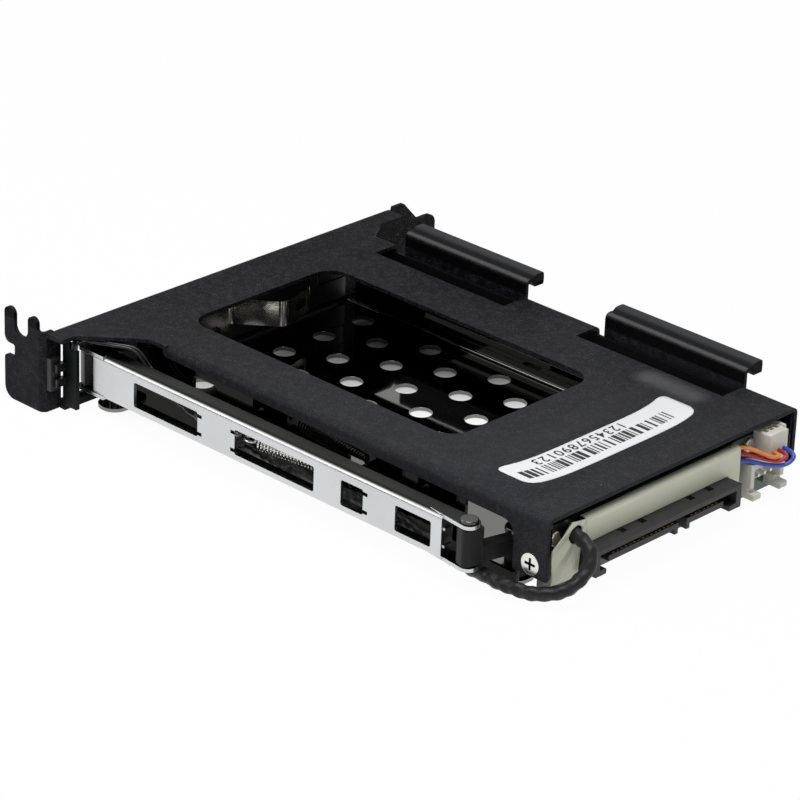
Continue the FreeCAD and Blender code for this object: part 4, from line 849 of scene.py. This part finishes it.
def return_spring():
    """Tension spring: a helix between two hooks, each hook a half circle at the axis.

    Along the coil the angle grows evenly at one radius; at each end a hook bows out to the side
    in the plane of the axis, and the joins are smoothed.
    """
    axis = SPRING_TO - SPRING_FROM
    span = np.linalg.norm(axis)
    axis = axis / span
    side = np.cross(axis, (0.0, 0.0, 1.0))
    side /= np.linalg.norm(side)
    up = np.cross(side, axis)
    steps = SPRING_TURNS * 24
    t = np.linspace(0, 1, steps)
    angle = t * SPRING_TURNS * 2 * np.pi
    run = HOOK_LENGTH + t * (span - 2 * HOOK_LENGTH)
    coil = (SPRING_FROM + axis * run[:, None]
            + SPRING_RADIUS * (side * np.cos(angle)[:, None] + up * np.sin(angle)[:, None]))
    bow = np.linspace(0, 1, 22)
    reach = HOOK_LENGTH - 0.3
    swing = np.pi * 1.25 * bow
    hook_run = reach * 0.5 * (1 + np.cos(swing))
    hook_side = SPRING_RADIUS * 0.85 * np.sin(swing)
    first = SPRING_FROM + axis * hook_run[:, None] + side * hook_side[:, None]
    last = SPRING_TO - axis * hook_run[:, None] + side * hook_side[:, None]
    line = np.concatenate([first[::-1], coil, last])
    line = even(smooth(place(line), 3), 0.16 * MM)
    made = tube("spring_coil", line, SPRING_WIRE * MM, 10, FINISHES["spring_wire"], None,
                np.array((0.13, 0.05, 0.99)))
    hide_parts("return_spring")
    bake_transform(made)


# ---------------------------------------------------------------- label
LABEL_START, LABEL_LONG, LABEL_WIDE = 24.1, 50.9, 9.8
LABEL_FRONT, FRONT_BOW = 107.3, 2.5
LABEL_REAR, REAR_BOW = 117.2, 2.2
LABEL_LIFT = 0.06
LABEL_ROUND = 2.4
PRINT_LIFT = 0.02
BARS_REACH = 44.5
BARS_START = 0.025
BARS_ACROSS = (0.4, 0.76)
DIGITS_MIDDLE = (0.2, 0.41)
DIGIT_HEIGHT = 3.5


def label_point(u, v, height):
    """A place on the label: u across from its front edge, v along from the ear's side.

    Both long edges bow to the rear where the label was stuck down over the plate's swelling:
    the bow is one minus the fifth power of the distance from the middle, over the half length.
    """
    u, v = np.broadcast_arrays(np.asarray(u, float), np.asarray(v, float))
    bow = 1 - np.abs(2 * v - 1) ** 5
    front = LABEL_FRONT + FRONT_BOW * bow
    rear = LABEL_REAR + REAR_BOW * bow
    x = front * (1 - u) + rear * u
    y = LABEL_START + LABEL_LONG * v
    return np.stack([x, y, np.full(x.shape, PLATE_Z + height)], -1)


def label():
    """Paper label: a grid whose rows are shortened to round its corners."""
    rows, columns = 25, 73
    s = np.linspace(-1, 1, rows)[:, None]
    t = np.linspace(-1, 1, columns)[None, :]
    # each row of the grid is shortened where the corner circle cuts it
    depth = np.clip(np.abs(s) * LABEL_WIDE / 2 - (LABEL_WIDE / 2 - LABEL_ROUND), 0, LABEL_ROUND)
    inset = LABEL_ROUND - np.sqrt(np.maximum(LABEL_ROUND ** 2 - depth ** 2, 0))
    v = 0.5 + t * (0.5 - inset / LABEL_LONG)
    u = 0.5 + s * 0.5 + 0 * t
    points = label_point(u, v, LABEL_LIFT)
    sheet = piece("paper_label", place(points), grid_faces(rows, columns)[:, ::-1], PAPER,
                  "root")
    thick = sheet.modifiers.new("thickness", "SOLIDIFY")
    thick.thickness = LABEL_LIFT * MM * 0.9
    thick.offset = -1.0
    return sheet


def label_print():
    """Printed bars and a row of plain counting digits, a hair above the paper."""
    rng = np.random.default_rng(5)
    edges = np.cumsum(rng.choice([0.32, 0.4, 0.65, 1.05], 160))
    edges = edges[edges < BARS_REACH] / LABEL_LONG + BARS_START
    starts = edges[0::2][:len(edges) // 2]
    ends = edges[1::2][:len(starts)]
    u = np.array(BARS_ACROSS)
    v = np.stack([starts, ends], -1)
    corners = label_point(np.broadcast_to(u[None, :, None], (len(v), 2, 2)),
                          np.broadcast_to(v[:, None, :], (len(v), 2, 2)), LABEL_LIFT + PRINT_LIFT)
    quads = np.arange(len(v))[:, None] * 4 + np.array((0, 1, 3, 2))
    piece("label_bars", place(corners), quads[:, ::-1], INK, "root", smooth=False)
    text = bpy.data.curves.new("label_numbers", "FONT")
    text.body = "1234567890123"
    text.size = DIGIT_HEIGHT * MM
    text.offset = 0.045 * MM
    text.space_character = 1.2
    text.align_x = "CENTER"
    text.align_y = "CENTER"
    holder = bpy.data.objects.new("label_numbers_text", text)
    mesh = bpy.data.meshes.new_from_object(holder)
    bpy.data.objects.remove(holder)
    flat = np.zeros(len(mesh.vertices) * 3)
    mesh.vertices.foreach_get("co", flat)
    flat = flat.reshape(-1, 3) / MM
    v = DIGITS_MIDDLE[1] - flat[:, 0] / LABEL_LONG
    u = DIGITS_MIDDLE[0] + flat[:, 1] / LABEL_WIDE
    mesh.vertices.foreach_set("co", place(label_point(u, v, LABEL_LIFT + PRINT_LIFT)).ravel())
    mesh.materials.clear()
    mesh.materials.append(INK)
    mesh.update()
    numbers = bpy.data.objects.new("label_numbers", mesh)
    bpy.context.scene.collection.objects.link(numbers)
    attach(numbers, "root")


sleeve()
leads()
lamp_wires()
insulating_film()
tab_lips()
return_spring()
label()
label_print()

# ---------------------------------------------------------------- studio
CAMERA_AZIMUTH = math.radians(43.112)
CAMERA_ELEVATION = math.radians(25.322)
CAMERA_ROLL = math.radians(2.156)
CAMERA_DISTANCE = 0.7815
CAMERA_TARGET = at(59.874, 47.462, 9.0)
ROOM_SOFT = 0.3
ROOM_MIRROR = (0.3, 0.85)
ROOM_TOP = (0.6, 1.35)
FLOOR_GLOW = 0.97
FLOOR_HALF = 3.0
# the painted shadow under the part fades in over these stretches past FACE_X and EAR_Y, in metres
PATCH_X = ((-0.002, 0.014), (0.131, 0.116))
PATCH_Y = ((0.007, 0.018), (0.099, 0.09))


def studio_camera():
    """Camera on its sphere round the target, rolled about its own axis."""
    back = Vector((math.sin(CAMERA_AZIMUTH) * math.cos(CAMERA_ELEVATION),
                   -math.cos(CAMERA_AZIMUTH) * math.cos(CAMERA_ELEVATION),
                   math.sin(CAMERA_ELEVATION)))
    right = (-back).cross(Vector((0, 0, 1))).normalized()
    up = right.cross(-back)
    rolled_right = math.cos(CAMERA_ROLL) * right + math.sin(CAMERA_ROLL) * up
    rolled_up = -math.sin(CAMERA_ROLL) * right + math.cos(CAMERA_ROLL) * up
    turn = Matrix((rolled_right, rolled_up, back)).transposed()
    data = bpy.data.cameras.new("studio_camera")
    data.lens = 167.7
    data.sensor_width = 36.0
    data.clip_start = 0.02
    data.clip_end = 20.0
    camera = bpy.data.objects.new("studio_camera", data)
    camera.matrix_world = Matrix.Translation(CAMERA_TARGET + back * CAMERA_DISTANCE) \
        @ turn.to_4x4()
    bpy.context.scene.collection.objects.link(camera)
    bpy.context.scene.camera = camera


def soft_light(name, where, aim, size, power):
    """A square soft box at where, turned to aim."""
    data = bpy.data.lights.new(name, "AREA")
    data.shape = "SQUARE"
    data.size = size
    data.energy = power
    light = bpy.data.objects.new(name, data)
    light.location = where
    light.rotation_euler = (Vector(aim) - Vector(where)).to_track_quat("-Z", "Y").to_euler()
    bpy.context.scene.collection.objects.link(light)


def seen(g):
    """1 for rays that show a background: camera, mirror and glass rays."""
    path = g.add("ShaderNodeLightPath").outputs
    first = g.math("MAXIMUM", path["Is Camera Ray"], path["Is Glossy Ray"])
    return g.math("MAXIMUM", first, path["Is Transmission Ray"])


def studio_floor():
    """White sweep that glows for seen rays and takes a faint shadow of the part.

    A painted shadow, a dark patch under the part, keeps its holes from showing a white floor. It
    is fixed to the floor and fades out toward the studio camera's side.
    """
    half = FLOOR_HALF
    corners = [(-half, -half, 0), (half, -half, 0), (half, half, 0), (-half, half, 0)]
    material = bpy.data.materials.new("white_sweep")
    material.use_nodes = True
    material.node_tree.nodes.clear()
    g = Graph(material.node_tree)
    spot = g.add("ShaderNodeSeparateXYZ", i0=g.add("ShaderNodeTexCoord").outputs["Object"])
    limits = [g.ramp(spot.outputs[axis], start + low, start + high)
              for axis, start, ends in ((0, FACE_X, PATCH_X), (1, EAR_Y, PATCH_Y))
              for low, high in ends]
    covered = g.math("MULTIPLY", g.math("MULTIPLY", *limits[:2]),
                     g.math("MULTIPLY", *limits[2:]))
    away = g.math("SUBTRACT", g.math("MULTIPLY", spot.outputs[1], math.cos(CAMERA_AZIMUTH)),
                  g.math("MULTIPLY", spot.outputs[0], math.sin(CAMERA_AZIMUTH)))
    # painted shadow under the part, fading toward the studio camera's side
    painted_shadow = g.math("MULTIPLY", covered, g.ramp(away, -0.018, 0.045, 0.0, 0.985))
    matt = g.add("ShaderNodeBsdfDiffuse",
                 Color=g.blend(painted_shadow, rgb(0.85, 0.85, 0.85), rgb(0.08, 0.08, 0.085)))
    glow = g.add("ShaderNodeEmission", Color=rgb(1, 1, 1), Strength=1.0)
    glowing = g.math("MULTIPLY", seen(g), g.ramp(painted_shadow, 0.0, 1.0, FLOOR_GLOW, 0.0))
    mix = g.add("ShaderNodeMixShader", i0=glowing, i1=matt.outputs[0], i2=glow.outputs[0])
    out = g.add("ShaderNodeOutputMaterial")
    g.feed(out.inputs["Surface"], mix.outputs[0])
    floor = piece("floor", np.array(corners) - np.array((0, 0, 0.0002)), [(0, 1, 2, 3)],
                  material, None, smooth=False)


def studio_world():
    """A pale room: soft for matt surfaces, uneven in mirrors, white for the camera.

    Object coordinates are the direction looked in here. Mirrors show the room brightest
    overhead and beyond the part from the studio camera's place, and it stays fixed there.
    """
    world = bpy.data.worlds.new("studio_world")
    bpy.context.scene.world = world
    world.use_nodes = True
    world.node_tree.nodes.clear()
    g = Graph(world.node_tree)
    path = g.add("ShaderNodeLightPath").outputs
    through = g.math("MAXIMUM", path["Is Camera Ray"], path["Is Transmission Ray"])
    room = g.add("ShaderNodeBackground", Color=rgb(1, 1, 1), Strength=ROOM_SOFT)
    toward = g.add("ShaderNodeTexCoord").outputs["Object"]
    beyond = g.add("ShaderNodeVectorMath", {"operation": "DOT_PRODUCT"}, i0=toward,
                   i1=(-math.sin(CAMERA_AZIMUTH), math.cos(CAMERA_AZIMUTH), 0)).outputs["Value"]
    mirror = g.add("ShaderNodeBackground", Color=rgb(1, 1, 1))
    steep = g.add("ShaderNodeSeparateXYZ", i0=toward).outputs["Z"]
    g.feed(mirror.inputs["Strength"],
           g.math("MULTIPLY", g.ramp(beyond, -0.1, 0.6, *ROOM_MIRROR),
                  g.ramp(steep, 0.25, 0.8, *ROOM_TOP)))
    white = g.add("ShaderNodeBackground", Color=rgb(1, 1, 1), Strength=1.0)
    first = g.add("ShaderNodeMixShader", i0=path["Is Glossy Ray"], i1=room.outputs[0],
                  i2=mirror.outputs[0])
    both = g.add("ShaderNodeMixShader", i0=through, i1=first.outputs[0], i2=white.outputs[0])
    out = g.add("ShaderNodeOutputWorld")
    g.feed(out.inputs["Surface"], both.outputs[0])


studio_camera()
studio_floor()
studio_world()
soft_light("top_box", (0.1, -0.2, 0.8), (0.0, 0.0, 0.01), 0.5, 5.0)
soft_light("side_box", (-0.45, -0.45, 0.35), (0.0, 0.0, 0.01), 0.4, 1.2)

bpy.context.scene.view_settings.view_transform = "Standard"
